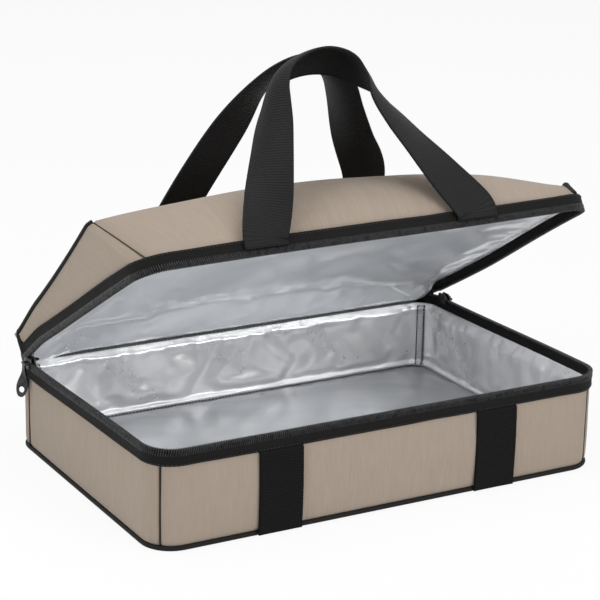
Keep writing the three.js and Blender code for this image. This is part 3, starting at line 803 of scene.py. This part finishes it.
# zip: tapes, coils and stitches
tape = {"low": 0.0662, "high": 0.0758, "proud": 0.0012, "thickness": 0.0012, "edgeTuck": 0.0005,
        "wobble": 0.00025, "span": 0.0103}
innerTape = {"low": 0.0706, "high": 0.0782, "inset": 0.0054, "lean": 0.0030, "short": 0.006,
             "thickness": 0.0008, "wobble": 0.0005, "span": 0.0085}
coil = {"pitch": 0.0019, "low": 0.0744, "high": 0.0803, "thickness": 0.0036, "inset": 0.0002, "slant": 12.0,
        "wire": 0.0009, "round": 0.0003}
core = {"inset": 0.0012, "halfDepth": 0.0007, "height": 0.0774, "halfHeight": 0.0021, "span": 0.007}
tapeStitch = {"pitch": 0.0032, "length": 0.0022, "radius": 0.00032, "proud": 0.0002, "up": 0.0014}
zipColumns = 420
zipStart, zipEnd = cornerMids[0] - 0.004, cornerMids[3] + 0.004
zipLength = zipEnd - zipStart


def tapeAt(a, b):
    wobble = tape["wobble"] * lumps(a * zipLength, b, 0.03, 61)
    z = tape["low"] + wobble * (1 - b) + b * (tape["high"] - tape["low"])
    return onOutline(zipStart + a * zipLength, -tape["proud"] + tape["edgeTuck"] * np.abs(2 * b - 1) ** 6, z)


def innerTapeAt(a, b):
    s = zipStart + innerTape["short"] + a * (zipLength - 2 * innerTape["short"])
    wobble = innerTape["wobble"] * lumps(s, b, 0.02, 62)
    z = innerTape["low"] + wobble * (1 - b) + b * (innerTape["high"] - innerTape["low"])
    return onOutline(s, innerTape["inset"] - innerTape["lean"] * b ** 1.5, z)


def tapeStitchLine(a):
    inset = -tape["proud"] - tapeStitch["proud"]
    return onOutline(zipStart + a * zipLength, inset, tape["low"] + tapeStitch["up"])


def coreAt(a, b):
    angle = 2 * np.pi * b
    inset = coil["inset"] + core["inset"] + core["halfDepth"] * np.cos(angle)
    return onOutline(zipStart + a * zipLength, inset, core["height"] + core["halfHeight"] * np.sin(angle))


def toLid(point):
    mirrored = point * np.array([1, 1, -1]) + np.array([0, 0, 2 * bag["zipLine"]])
    return lidOpened(mirrored)


def makeCoil(name):
    form = bmesh.new()
    count = int(zipLength / coil["pitch"])
    height, middle = coil["high"] - coil["low"], (coil["high"] + coil["low"]) / 2
    s = zipStart + (np.arange(count) + 0.5) * zipLength / count
    x, y, nx, ny = outlineAt(s, coil["inset"])
    slant = Matrix.Rotation(math.radians(coil["slant"]), 4, "Y")
    size = Matrix.Diagonal((coil["wire"], coil["thickness"], height, 1))
    for k in range(count):
        outward, up = Vector((nx[k], ny[k], 0)), Vector((0, 0, 1))
        basis = Matrix((up.cross(outward), outward, up)).transposed().to_4x4()
        spot = Matrix.Translation((x[k], y[k], middle)) @ basis @ slant @ size
        bmesh.ops.create_cube(form, size=1, matrix=spot)
    bmesh.ops.bevel(form, geom=form.edges[:], offset=coil["round"], affect="EDGES", segments=1, profile=0.5,
                    material=-1)
    return keepForm(form, name, coilPlastic)


for side, body in (("tray", "base"), ("lid", "lid")):
    isLid = side == "lid"

    def dressed(place, isLid=isLid):
        return (lambda *spot: toLid(place(*spot))) if isLid else place

    band = makeCloth(side + "ZipTape", zipColumns, 8, dressed(tapeAt), (zipLength, tape["span"]), blackTape,
                     flip=isLid)
    thicken(band, tape["thickness"])
    finishPiece(band, body, "black_tape", f"{body}_zip_tape")
    inner = makeCloth(side + "InnerTape", zipColumns, 6, dressed(innerTapeAt), (zipLength, innerTape["span"]),
                      blackTape, flip=not isLid)
    thicken(inner, innerTape["thickness"])
    finishPiece(inner, body, "black_tape")
    teeth = makeCoil(side + "ZipCoil")
    if isLid:
        writePoints(teeth.data, toLid(readPoints(teeth.data)))
        teeth.data.flip_normals()
    finishPiece(teeth, body, "black_plastic", f"{body}_zip_chain")
    filling = makeCloth(side + "ZipCore", zipColumns, 8, dressed(coreAt), (zipLength, core["span"]),
                        blackTape, False, True, capped=True)
    finishPiece(filling, body, "black_tape")
    sew(side + "TapeStitches", dressed(tapeStitchLine), zipLength, tapeStitch, darkThread, body, "black_tape")
print("zip done")


# fabric hinge across the back
hinge = {"reach": 0.0136, "proud": 0.0007, "soft": 0.006, "past": 0.010, "thickness": 0.0012, "span": 0.027}
hingeStart, hingeEnd = cornerMids[3] - hinge["past"] - outlineLength, cornerMids[0] + hinge["past"]
hingeLength = hingeEnd - hingeStart


def hingeAt(a, b):
    z = bag["zipLine"] + (2 * b - 1) * hinge["reach"]
    shut = onOutline(hingeStart + a * hingeLength, -hinge["proud"], z)
    share = smooth(z - bag["zipLine"], -hinge["soft"], hinge["soft"])[:, None]
    return shut * (1 - share) + lidOpened(shut) * share


hingeFold = makeCloth("hingeFold", 150, 22, hingeAt, (hingeLength, hinge["span"]), blackTape)
thicken(hingeFold, hinge["thickness"])
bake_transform(hingeFold)
finishPiece(hingeFold, None, "black_tape", "base_hinge_leaf", "lid_hinge_leaf")

hingeSeam = {"inset": 0.0060, "height": 0.0722, "radius": 0.0013, "flatter": 0.8, "half": 0.192,
             "length": 0.376, "span": 0.008}
hingeStitch = {"pitch": 0.0036, "length": 0.0024, "radius": 0.0006, "proud": 0.0013, "up": 0.0003}
hingeStrip = {"spans": (0.388, 0.0105), "trayInset": 0.0045, "trayHeight": 0.0680, "seamShift": 0.0016,
              "past": 0.002, "bends": (0, 0.38, 0.60, 1)}
lidEdge = {"inset": 0.0046, "edge": 0.0880, "back": 0.0714, "backShift": 0.0030}


def hingeSeamAt(a, b):
    angle = 2 * np.pi * b
    x = (2 * a - 1) * hingeSeam["half"]
    y = halfDepth - hingeSeam["inset"] + hingeSeam["radius"] * np.cos(angle)
    return stack(x, y, hingeSeam["height"] + hingeSeam["flatter"] * hingeSeam["radius"] * np.sin(angle))


def hingeStitchLine(a):
    x = (2 * a - 1) * hingeSeam["half"]
    y = 0 * x + halfDepth - hingeSeam["inset"] - hingeStitch["proud"]
    return stack(x, y, hingeSeam["height"] + hingeStitch["up"])


def hingeLiningAt(a, b):
    lidSide = halfDepth - lidEdge["inset"] + lidEdge["backShift"]
    lidEnds = lidOpened(np.array([[0, lidSide, lidEdge["back"] + up] for up in (0.001, 0.005)]))
    seamSide = halfDepth - hingeSeam["inset"] + hingeStrip["seamShift"]
    trayEnds = np.array([[0, halfDepth - hingeStrip["trayInset"], hingeStrip["trayHeight"]],
                         [0, seamSide, hingeSeam["height"]]])
    line = np.concatenate([trayEnds, lidEnds])   # both edges are tucked behind the linings
    y, z = (np.interp(b, hingeStrip["bends"], line[:, k]) for k in (1, 2))
    return stack((2 * a - 1) * (hingeSeam["half"] + hingeStrip["past"]), y, z)


hingeLining = makeCloth("hingeLining", 150, 10, hingeLiningAt, hingeStrip["spans"], lidFoil)
thicken(hingeLining, foilSheet["thickness"])
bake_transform(hingeLining)
finishPiece(hingeLining, None, "foil")
hingeBinding = makeCloth("hingeBinding", 120, 10, hingeSeamAt, (hingeSeam["length"], hingeSeam["span"]),
                         shadedBindingFoil, False, True, capped=True)
finishPiece(hingeBinding, "base", "foil")
sew("hingeStitches", hingeStitchLine, hingeSeam["length"], hingeStitch, darkThread, "base", "foil")
print("hinge done")


# lid: padded outer panels, piping and seams
lidPanel = {"padding": 0.0030, "backPadding": 0.0015, "ripple": 0.0010, "swell": 0.0008, "seamRoll": 0.0020,
            "ridgeRoll": 0.0030, "ridgeWidth": 0.0024, "inset": 0.0010, "wallInset": 0.0002, "proud": 0.0004,
            "foot": 0.0022, "overlap": 0.0015, "frontGap": 0.0008, "sideGap": 0.0022, "frontRoll": 0.0022,
            "backCalm": 0.3, "spans": (0.413, 0.273), "wallSpan": 0.045}


def lidTopAt(a, b):
    x, y = planAt(a, b, lidPanel["inset"], 0.82, lidForm["ridgeCorner"])
    fromEdge = edgeDistance(x, y, lidPanel["inset"], lidForm["ridgeCorner"])
    point = lidTop(x, y, 0)
    ripple = lidPanel["ripple"] * twoLumps(x, y, (0.06, 71), (0.027, 72)) * smooth(fromEdge, 0.004, 0.03)
    roll = lidPanel["ridgeRoll"] * np.exp(-fromEdge / lidPanel["ridgeWidth"])
    point[:, 2] += ripple - roll + lidPanel["proud"]
    return lidOpened(point)


lidTopPanel = makeCloth("lidTopPanel", 150, 108, lidTopAt, lidPanel["spans"], taupeCloth)
thicken(lidTopPanel, lidPanel["padding"])
finishPiece(lidTopPanel, "lid", "taupe_fabric", "lid_top_panel", "lid_top_foam")

for number, (side, (start, end)) in enumerate(zip(sideNames, sideEnds)):
    length = end - start

    def lidPanelAt(a, b, start=start, length=length, side=side, number=number):
        isFront = side == "front"
        along = dense(a, gather) * length
        s = start + along
        fromSeam = np.minimum(along, length - along)
        inset = lidPanel["wallInset"] + seamRoll(fromSeam, lidPanel["seamRoll"])
        inset = inset + lidPanel["foot"] * np.exp(-b / 0.10)
        x, y, nx, ny = outlineAt(s, inset, lidForm["ridgeCorner"])
        tall = lidTop(x, y, 0)[:, 2] - lidForm["rim"]
        top = 1 - lidPanel["frontGap" if isFront else "sideGap"] / tall
        low = -lidPanel["overlap"] / tall
        up = low + (1 - (1 - b) ** 1.2) * (top - low)
        point = lidWall(s, inset, up, lidForm["bulge"] if isFront else 0.0)
        roll = lidPanel["frontRoll"] * np.exp(-(1 - b) * tall / 0.0022) if isFront else 0 * b
        calm = lidPanel["backCalm"] if side == "back" else 1.0
        ripple = lidPanel["ripple"] * twoLumps(along, b * 0.04, (0.045, 81 + number), (0.02, 85 + number))
        ripple = (ripple + lidPanel["swell"]) * np.sin(np.pi * b) * smooth(fromSeam, 0.004, 0.03) * calm
        out = ripple - roll
        return lidOpened(point + stack(nx * out, ny * out, 0.5 * out))

    name = "lid" + side.capitalize() + "Panel"
    panel = makeCloth(name, sideColumns[number], 20, lidPanelAt, (length, lidPanel["wallSpan"]), taupeCloth)
    thicken(panel, lidPanel["backPadding" if side == "back" else "padding"])
    nodes = [f"lid_{side}_panel"] + ([] if side == "back" else [f"lid_{side}_foam"])
    finishPiece(panel, "lid", "taupe_fabric", *nodes)

# where the right piping stops following the ridge, it goes on down the front seam
sidePiping = {"diameter": 0.0044, "inset": 0.0010, "climb": 0.15, "foot": -1.7, "footInset": -0.0030,
              "crest": 0.98, "drop": 0.86, "span": 0.014}
pipingRuns = {
    "left": {"start": outlineStops[1] + 0.40 * cornerLength, "end": panelSeams[1], "last": 1.0, "wider": 1.0},
    "right": {"start": outlineStops[8] - 0.40 * cornerLength, "end": panelSeams[2] - 0.002, "last": 0.88,
              "wider": 1.25},
}
for side, run in pipingRuns.items():
    length = run["end"] - run["start"]

    def sidePipingLine(a, run=run, length=length):
        last = run["last"]
        s = run["start"] + np.minimum(1, a / last) * length
        climb = smooth(a, -0.01, sidePiping["climb"])
        drop = sidePiping["drop"] * smooth(a, last - 0.02, 1.02) if last < 1 else 0
        up = sidePiping["foot"] + (sidePiping["crest"] - sidePiping["foot"]) * climb - drop
        inset = sidePiping["footInset"] + (sidePiping["inset"] - sidePiping["footInset"]) * climb
        return lidOpened(lidWall(s, inset, up, 0.0))

    cord = makeTube("lid" + side.capitalize() + "Piping", 150, 12, sidePipingLine,
                    sidePiping["diameter"] / 2 * run["wider"], (abs(length), sidePiping["span"]),
                    pipingCloth, False)
    finishPiece(cord, "lid", "black_tape", "lid_top_piping")

# a thin dark cord in the lid's front corner seams: partly the seam's own dark line, partly painted shade of
# the groove
lidSeamShadeCord = {"inset": 0.0010, "thinner": 0.8, "foot": 0.02, "reach": 0.95, "spans": (0.05, 0.004)}
for corner, s in zip(cornerNames[1:3], panelSeams[1:3]):

    def lidCordAt(a, b, s=s):
        angle = 2 * np.pi * b
        point = lidWall(s + 0 * a, lidSeamShadeCord["inset"], lidSeamShadeCord["foot"] + lidSeamShadeCord["reach"] * a, 0.0)
        radius = lidSeamShadeCord["thinner"] * seamShadeCord["diameter"] / 2
        return lidOpened(point + stack(radius * np.cos(angle), radius * np.sin(angle), 0 * a))

    seam = makeCloth("lidSeam" + corner, 12, 8, lidCordAt, lidSeamShadeCord["spans"], pipingCloth, False, True,
                     capped=True)
    finishPiece(seam, "lid", "black_tape")
print("lid shell done")


# lid: foil lining, one sheet from the tape to the top
lidLiner = {"wall": 0.040, "backWall": 0.120, "fan": 0.0095, "fanX": 0.196, "fanY": 0.130, "hang": 0.0035,
            "spread": 0.0012, "pucker": 0.0005, "spans": (0.406, 0.266)}
lidStitch = {"pitch": 0.0036, "length": 0.0024, "radius": 0.0005, "inset": 0.0045, "short": 0.012,
             "lower": 0.0009}


def lidLinerShut(x, y, fromEdge):
    back = smooth(y, halfDepth - 0.03, halfDepth - 0.006)
    edge = lidEdge["edge"] * (1 - back) + lidEdge["back"] * back
    nearBack = smooth(y, -0.04, 0.10)
    reach = lidLiner["wall"] * (1 - nearBack) + lidLiner["backWall"] * nearBack
    climb = 1 - (1 - np.clip(fromEdge / reach, 0, 1)) ** 1.9
    top = lidTop(x, y, lidForm["depth"] + lidLiner["hang"])
    free = smooth(fromEdge, 0.008, 0.045)
    spread = lumps(x * 0.7 + y, x * 0.3 - y * 0.8, 0.030, 91)
    spread = spread + 0.6 * lumps(x - y, x * 0.5 + y * 0.5, 0.017, 92)
    pucker = hump(fromEdge, 0.006, 0.005) * lidLiner["pucker"] * (lumps(x + 2 * y, x - y, 0.006, 93) + 1)
    fans = 0 * x
    for side, share, seed in ((1, 1.0, 94), (-1, 0.5, 97)):   # folds that spread from the hinge's ends
        dx, dy = side * lidLiner["fanX"] - x, lidLiner["fanY"] - y
        far = np.hypot(dx, dy)
        spoke = lumps(np.arctan2(dy, side * dx + 1e-9), 0 * x, 0.26, seed)
        fans += share * spoke * smooth(far, 0.006, 0.03) * np.exp(-far / 0.045)
    folds = lidLiner["fan"] * fans * smooth(fromEdge, 0.002, 0.02)
    z = edge + (top[:, 2] - edge) * climb - free * lidLiner["spread"] * spread - pucker - folds
    return stack(x, y + (top[:, 1] - y) * climb + lidEdge["backShift"] * back * (1 - climb), z)


def lidLinerAt(a, b):
    x, y = planAt(a, b, lidEdge["inset"], 0.6)
    return lidOpened(lidLinerShut(x, y, edgeDistance(x, y, lidEdge["inset"])))


def lidLinerHeld(points):
    turn = math.radians(bag["lidOpen"])
    dy, dz = points[:, 1] - halfDepth, points[:, 2] - bag["zipLine"]
    y = halfDepth + dy * math.cos(turn) - dz * math.sin(turn)
    x = points[:, 0] + lidForm["skew"] * (y - halfDepth) / bag["depth"]
    return 1 - smooth(edgeDistance(x, y, lidEdge["inset"]), 0.005, 0.012)


lidSheet = makeCloth("lidLiner", 190, 130, lidLinerAt, lidLiner["spans"], lidFoil, flip=True)
settleCloth(lidSheet, lidLinerHeld, grow=0.005, bend=1.0, gravity=0.02, cap=0.004, outward=0.0025)
thicken(lidSheet, foilSheet["thickness"])
finishPiece(lidSheet, "lid", "foil", "lid_top_lining", "lid_front_lining", "lid_right_lining",
            "lid_left_lining")


def lidStitchLine(a):
    s = zipStart + lidStitch["short"] + a * (zipLength - 2 * lidStitch["short"])
    x, y, _, _ = outlineAt(s, lidEdge["inset"] + lidStitch["inset"])
    point = lidLinerShut(x, y, 0 * x + lidStitch["inset"])
    return lidOpened(point - np.array([0, 0, lidStitch["lower"]]))


sew("lidLinerStitches", lidStitchLine, zipLength, lidStitch, greyThread, "lid", "foil")
print("lid lining done")


# webbing: load straps and handles
strap = {"width": 0.038, "thickness": 0.0018, "spacing": 0.200, "rib": 0.0003, "bottom": 0.0012,
         "top": 0.0684, "puff": 0.0010, "proud": 0.0002, "wobble": 0.0002, "under": 0.0012, "span": 0.067}


def ribbonSection(across):
    return strap["rib"] * np.abs(2 * across - 1) ** 10   # the woven edge is a little thicker


for face, outward in (("front", -1), ("back", 1)):
    for hand, sideways in (("left", -1), ("right", 1)):

        def strapAt(a, b, outward=outward, sideways=sideways):
            x = sideways * strap["spacing"] / 2 + (a - 0.5) * strap["width"]
            z = strap["bottom"] + b * (strap["top"] - strap["bottom"])
            puff = strap["puff"] * np.sin(np.pi * np.clip(z / 0.07, 0, 1)) + strap["proud"]
            under = strap["under"] * smooth(z, 0.0645, 0.0668)   # the zip tape covers its end
            wobble = strap["wobble"] * lumps(x, z, 0.02, 95)
            y = halfDepth + strap["thickness"] + puff - under + ribbonSection(a) + wobble
            return stack(x, outward * y, z)

        name = "tray" + face.capitalize() + hand.capitalize() + "Strap"
        band = makeCloth(name, 22, 34, strapAt, (strap["width"], strap["span"]), shadedStrapWebbing,
                         flip=face == "back")
        thicken(band, strap["thickness"])
        finishPiece(band, "base", "webbing", f"base_{face}_{hand}_strap")


def roundCurve(points, steps):
    points = np.array(points, float)
    gaps = np.sqrt(np.linalg.norm(np.diff(points[:, :3], axis=0), axis=1))
    knots = np.concatenate([[0], np.cumsum(gaps)])
    slopes = np.gradient(points, knots, axis=0)
    t = np.linspace(0, knots[-1], 40 * steps)
    k = np.clip(np.searchsorted(knots, t, "right") - 1, 0, len(knots) - 2)
    h = (knots[k + 1] - knots[k])[:, None]
    f = ((t - knots[k])[:, None]) / h
    curve = ((2 * f ** 3 - 3 * f ** 2 + 1) * points[k] + (f ** 3 - 2 * f ** 2 + f) * h * slopes[k]
             + (-2 * f ** 3 + 3 * f ** 2) * points[k + 1] + (f ** 3 - f ** 2) * h * slopes[k + 1])
    travel = np.concatenate([[0], np.cumsum(np.linalg.norm(np.diff(curve[:, :3], axis=0), axis=1))])
    even = np.linspace(0, travel[-1], steps)
    return np.stack([np.interp(even, travel, curve[:, n]) for n in range(points.shape[1])], -1), travel[-1]


def leaning(degrees):
    turn = math.radians(degrees)
    return np.array([0, -math.sin(turn), math.cos(turn)])


def makeHandle(name, pivot, lean, arch, tail, tailNormal, steps):
    upward = leaning(lean)   # along the handle's own plane
    facing = np.array([0, -upward[2], upward[1]])
    beside = lambda x: np.array([x, 0, 0])
    rows = [[*(p + beside(arch[0][0])), 0] for p in tail]
    rows += [[*(np.array(pivot) + beside(x) + upward * height), twist] for x, height, twist in arch]
    rows += [[*(p + beside(arch[-1][0])), arch[-1][2]] for p in tail[::-1]]
    curve, length = roundCurve(rows, steps)
    points, spin = curve[:, :3], np.radians(curve[:, 3])
    tangents = np.gradient(points, axis=0)
    tangents /= np.linalg.norm(tangents, axis=1, keepdims=True)
    height = (points - np.array(pivot)) @ upward
    onTail = 1 - smooth(height, 0.0, 0.016)
    normal = facing * (1 - onTail)[:, None] + np.array(tailNormal) * onTail[:, None]
    normal -= tangents * np.sum(normal * tangents, 1, keepdims=True)
    normal /= np.linalg.norm(normal, axis=1, keepdims=True)
    bowing = handleForm["cup"] * smooth(height, 0.03, 0.1) + handleForm["bow"] * np.sin(spin) ** 2
    width = np.cross(tangents, normal)
    width, normal = (width * np.cos(spin)[:, None] + normal * np.sin(spin)[:, None],
                     normal * np.cos(spin)[:, None] - width * np.sin(spin)[:, None])

    def ribbonAt(a, b):
        row = np.clip(b * (steps - 1), 0, steps - 1)
        k = np.minimum(row.astype(int), steps - 2)
        f = (row - k)[:, None]
        mix = lambda values: values[k] * (1 - f) + values[k + 1] * f
        bow = (1 - (2 * a - 1) ** 2) * mix(bowing[:, None])[:, 0]
        sideways = mix(width) * ((a - 0.5) * strap["width"])[:, None]
        return mix(points) + sideways + mix(normal) * (ribbonSection(a) + bow)[:, None]

    ribbon = makeCloth(name, 20, steps - 1, ribbonAt, (strap["width"], length), blackWebbing)
    return thicken(ribbon, strap["thickness"], 0.0)


def lidPoint(y, z):
    return lidOpened(np.array([0.0, y, z])) * np.array([0, 1, 1])


lidUp = lidPoint(0, 1) - lidPoint(0, 0)
lidForward = lidPoint(-1, 0) - lidPoint(0, 0)

# across, height and twist along each handle, in its own plane; cup and bow are how far the ribbon bellies out
handleForm = {"frontLean": -32.0, "backLean": 23.0, "cup": 0.0012, "bow": 0.0060, "backSeatLift": 0.0022,
              "front": [(-0.0945, 0, 0), (-0.0865, 0.022, 18), (-0.0785, 0.044, 40), (-0.0705, 0.066, 54),
                        (-0.0630, 0.087, 64), (-0.0565, 0.105, 78), (-0.0520, 0.115, 87),
                        (-0.0425, 0.1270, 96), (-0.0265, 0.1348, 101), (-0.0063, 0.1375, 103),
                        (0.0125, 0.1318, 95), (0.0245, 0.1185, 74), (0.0325, 0.1050, 50),
                        (0.0445, 0.0850, 36), (0.0590, 0.0620, 27), (0.0780, 0.0330, 12), (0.0990, 0, 0)],
              "back": [(-0.1000, 0, 0), (-0.0820, 0.064, 0), (-0.0550, 0.1330, -6), (-0.0400, 0.1660, -24),
                       (-0.0230, 0.1855, -32), (-0.0060, 0.1920, -34), (0.0130, 0.1910, -42),
                       (0.0300, 0.1835, -54), (0.0420, 0.1690, -64), (0.0525, 0.1480, -62),
                       (0.0680, 0.1140, -44), (0.0930, 0.0640, -8), (0.1000, 0, 0)]}

frontPivot = lidPoint(-halfDepth - 0.0033, 0.0924)
frontTail = [lidPoint(-halfDepth - 0.0026, 0.0850), lidPoint(-halfDepth - 0.0028, 0.0890)]
frontHandle = makeHandle("frontHandle", frontPivot, handleForm["frontLean"], handleForm["front"], frontTail,
                         lidForward, 150)
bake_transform(frontHandle)
finishPiece(frontHandle, None, "webbing", "front_handle", "front_handle_left_tail", "front_handle_right_tail")

backSeat = np.array([0.0, 0.093278, 0.158149])   # where the solids' back handle leaves its tails
backTail = []
for y in (0.1325, 0.118, 0.102, 0.086, 0.070, 0.058):
    x = np.array([-1, 1]) * strap["spacing"] / 2
    seats = lidOpened(lidTop(x, np.array([y, y]), -handleForm["backSeatLift"]))
    backTail.append(np.array([0, seats[:, 1].mean(), seats[:, 2].max()]))
backHandle = makeHandle("backHandle", backSeat, handleForm["backLean"], handleForm["back"], backTail,
                        -lidUp, 190)
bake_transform(backHandle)
finishPiece(backHandle, None, "webbing", "back_handle", "back_handle_left_tail", "back_handle_right_tail")
print("webbing done")


# zip ends, sliders, pulls and the board under the floor
def refine(node, name, width):
    form = bmesh.new()
    form.from_mesh(frame["nodes"][node].data)
    bmesh.ops.remove_doubles(form, verts=form.verts, dist=1e-6)
    bmesh.ops.dissolve_limit(form, angle_limit=math.radians(2), verts=form.verts, edges=form.edges)
    sharp = [e for e in form.edges if len(e.link_faces) == 2 and e.calc_face_angle() > math.radians(40)]
    bmesh.ops.bevel(form, geom=sharp, offset=width, affect="EDGES", segments=2, profile=0.5, material=-1,
                    clamp_overlap=True)
    return keepForm(form, name, gunmetal)


sliderRound = 0.00025
pullForm = {"hole": 0.0027, "holeUp": 0.0064, "thickness": 0.0017, "wider": 1.15, "narrowing": 0.42,
            "turn": 42.0, "kick": 0.0032, "round": 0.0005, "spans": (0.03, 0.01)}
zipEndForm = {"wrap": (0.002, 0.0024, 0.001), "round": 0.0008}
for hand, sideways in (("left", -1), ("right", 1)):
    slider = refine(f"{hand}_zip_slider", hand + "Slider", sliderRound)
    finishPiece(slider, f"{hand}_slider", "gunmetal", f"{hand}_zip_slider")
    low, high = (np.array(p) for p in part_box(f"{hand}_pull_tab"))

    def pullAt(a, b, low=low, high=high, sideways=sideways):
        centre, half = (low + high) / 2, (high[1] - low[1]) / 2
        tall = high[2] - low[2]
        angle = 2 * np.pi * a
        up = np.clip(0.5 + 0.5 * np.sin(angle), 0, 1)
        width = half * pullForm["wider"] * (1 - pullForm["narrowing"] * smooth(up, 0.25, 0.8))
        aside = width * np.sign(np.cos(angle)) * np.abs(np.cos(angle)) ** 0.7
        outer = np.stack([aside, tall * up - tall / 2], -1)
        hole = pullForm["hole"] * np.sin(angle) - tall / 2 + pullForm["holeUp"]
        inner = np.stack([pullForm["hole"] * np.cos(angle), hole], -1)
        flat = inner * (1 - b)[:, None] + outer * b[:, None]
        # it hangs turned to the front and clear of the tape
        turn = math.radians(pullForm["turn"]) * smooth(-flat[:, 1], -0.008, 0.006)
        kick = pullForm["kick"] * smooth(-flat[:, 1], -0.006, tall / 2)
        return stack(centre[0] + sideways * (flat[:, 0] * np.sin(turn) + kick),
                     centre[1] + flat[:, 0] * np.cos(turn), centre[2] + flat[:, 1])

    pull = makeCloth(hand + "Pull", 48, 6, pullAt, pullForm["spans"], gunmetal, True, flip=hand == "left")
    thicken(pull, pullForm["thickness"], 0.0)
    edge = pull.modifiers.new("edge", "BEVEL")
    edge.width = pullForm["round"]
    edge.segments = 3
    edge.limit_method = "ANGLE"
    finishPiece(pull, f"{hand}_pull", "gunmetal", f"{hand}_pull_tab")

    low, high = (np.array(p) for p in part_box(f"{hand}_zip_end_tab"))
    form = bmesh.new()
    size = Matrix.Diagonal((*(high - low + np.array(zipEndForm["wrap"])), 1))
    bmesh.ops.create_cube(form, size=1, matrix=Matrix.Translation((low + high) / 2) @ size)
    bmesh.ops.bevel(form, geom=form.edges[:], offset=zipEndForm["round"], affect="EDGES", segments=3,
                    profile=0.5, material=-1)
    layer = form.loops.layers.uv.new("cloth")
    for face in form.faces:
        for loop in face.loops:
            loop[layer].uv = (loop.vert.co.x, loop.vert.co.z)
    finishPiece(keepForm(form, hand + "ZipEnd", blackTape), "base", "black_tape", f"{hand}_zip_end_tab")

boardMesh = frame["nodes"]["base_floor_board"].data
boardMesh.materials.clear()
boardMesh.materials.append(floorBoard)
print("zip ends and sliders done")

# the soft front wall stands a little taller than the back one
frontRise = 0.004
for piece in [o for o in bpy.context.scene.collection.objects if o.name.startswith(("tray", "linerSeam"))]:
    points = readPoints(piece.data)
    forward = smooth((halfDepth - points[:, 1]) / bag["depth"], 0.05, 0.95)
    points[:, 2] += frontRise * forward * smooth(points[:, 2], 0.004, 0.066)
    writePoints(piece.data, points)


# floor, light and camera
def seenDirectly(pen):
    camera, glossy, through = (pen.add("LightPath", None, None, out) for out in (0, 3, 6))
    either = pen.add("Math", {"operation": "MAXIMUM"}, {0: camera, 1: glossy})
    return pen.add("Math", {"operation": "MAXIMUM"}, {0: either, 1: through})


studio = {"floorSize": 9, "floorColour": (0.86, 0.86, 0.86, 1), "white": (1, 1, 1, 1), "glow": 0.9,
          "sky": (0.95, 0.97, 1.0, 1), "fill": 0.36}


def makeStudioFloor():
    pen = newMaterial("studioFloor", Roughness=0.9, Specular_IOR_Level=0.1)
    pen.feed("Base Color", studio["floorColour"])
    glow = pen.add("Emission", None, {"Color": studio["white"], "Strength": 1.0})
    plain = Wire(pen, pen.shader.outputs[0])
    mixed = pen.add("MixShader", None, {0: seenDirectly(pen) * studio["glow"], 1: plain, 2: glow})
    pen.plug(mixed, pen.tree.nodes["Material Output"].inputs["Surface"])
    return pen.owner


floorGrid = bmesh.new()
bmesh.ops.create_grid(floorGrid, x_segments=1, y_segments=1, size=studio["floorSize"])
studioFloor = keepForm(floorGrid, "studioFloor", makeStudioFloor())

bpy.context.scene.world = bpy.data.worlds.new("studio")
skyPen = Pen(bpy.context.scene.world)
shade = skyPen.add("Background", None, {"Color": studio["sky"], "Strength": studio["fill"]})
white = skyPen.add("Background", None, {"Color": studio["white"], "Strength": 1.0})
skyMix = skyPen.add("MixShader", None, {0: seenDirectly(skyPen), 1: shade, 2: white})
skyPen.plug(skyMix, skyPen.tree.nodes["World Output"].inputs["Surface"])

lamps = {
    "keyLamp": {"place": (0.7, -1.3, 2.0), "size": 1.4, "power": 12.5},
    "leftLamp": {"place": (-1.7, -0.6, 1.0), "size": 1.2, "power": 15},
    "topLamp": {"place": (-0.2, 0.3, 2.2), "size": 1.6, "power": 22},
    "mouthLamp": {"place": (0.9, -1.9, 0.45), "size": 0.9, "power": 13},
}
lampAim = Vector((0, 0, 0.12))
for name, lamp in lamps.items():
    light = bpy.data.lights.new(name, "AREA")
    light.size = lamp["size"]
    light.energy = lamp["power"]
    holder = addObject(name, light)
    holder.location = lamp["place"]
    holder.rotation_euler = (lampAim - Vector(lamp["place"])).to_track_quat("-Z", "Y").to_euler()

photoCamera = {"place": (-0.8521, -1.4804, 0.6726), "right": (0.87158, -0.48982, 0.02058),
               "up": (0.12958, 0.27066, 0.95391), "back": (-0.47282, -0.82875, 0.29937), "lens": 128.5}
cameraData = bpy.data.cameras.new("photoCamera")
cameraData.sensor_width = 36.0
cameraData.lens = photoCamera["lens"]
cameraData.clip_end = 50.0
camera = addObject("photoCamera", cameraData)
turn = Matrix((photoCamera["right"], photoCamera["up"], photoCamera["back"])).transposed()
camera.matrix_world = Matrix.Translation(photoCamera["place"]) @ turn.to_4x4()
bpy.context.scene.camera = camera
bpy.context.scene.view_settings.view_transform = "Standard"
print("stage ready")
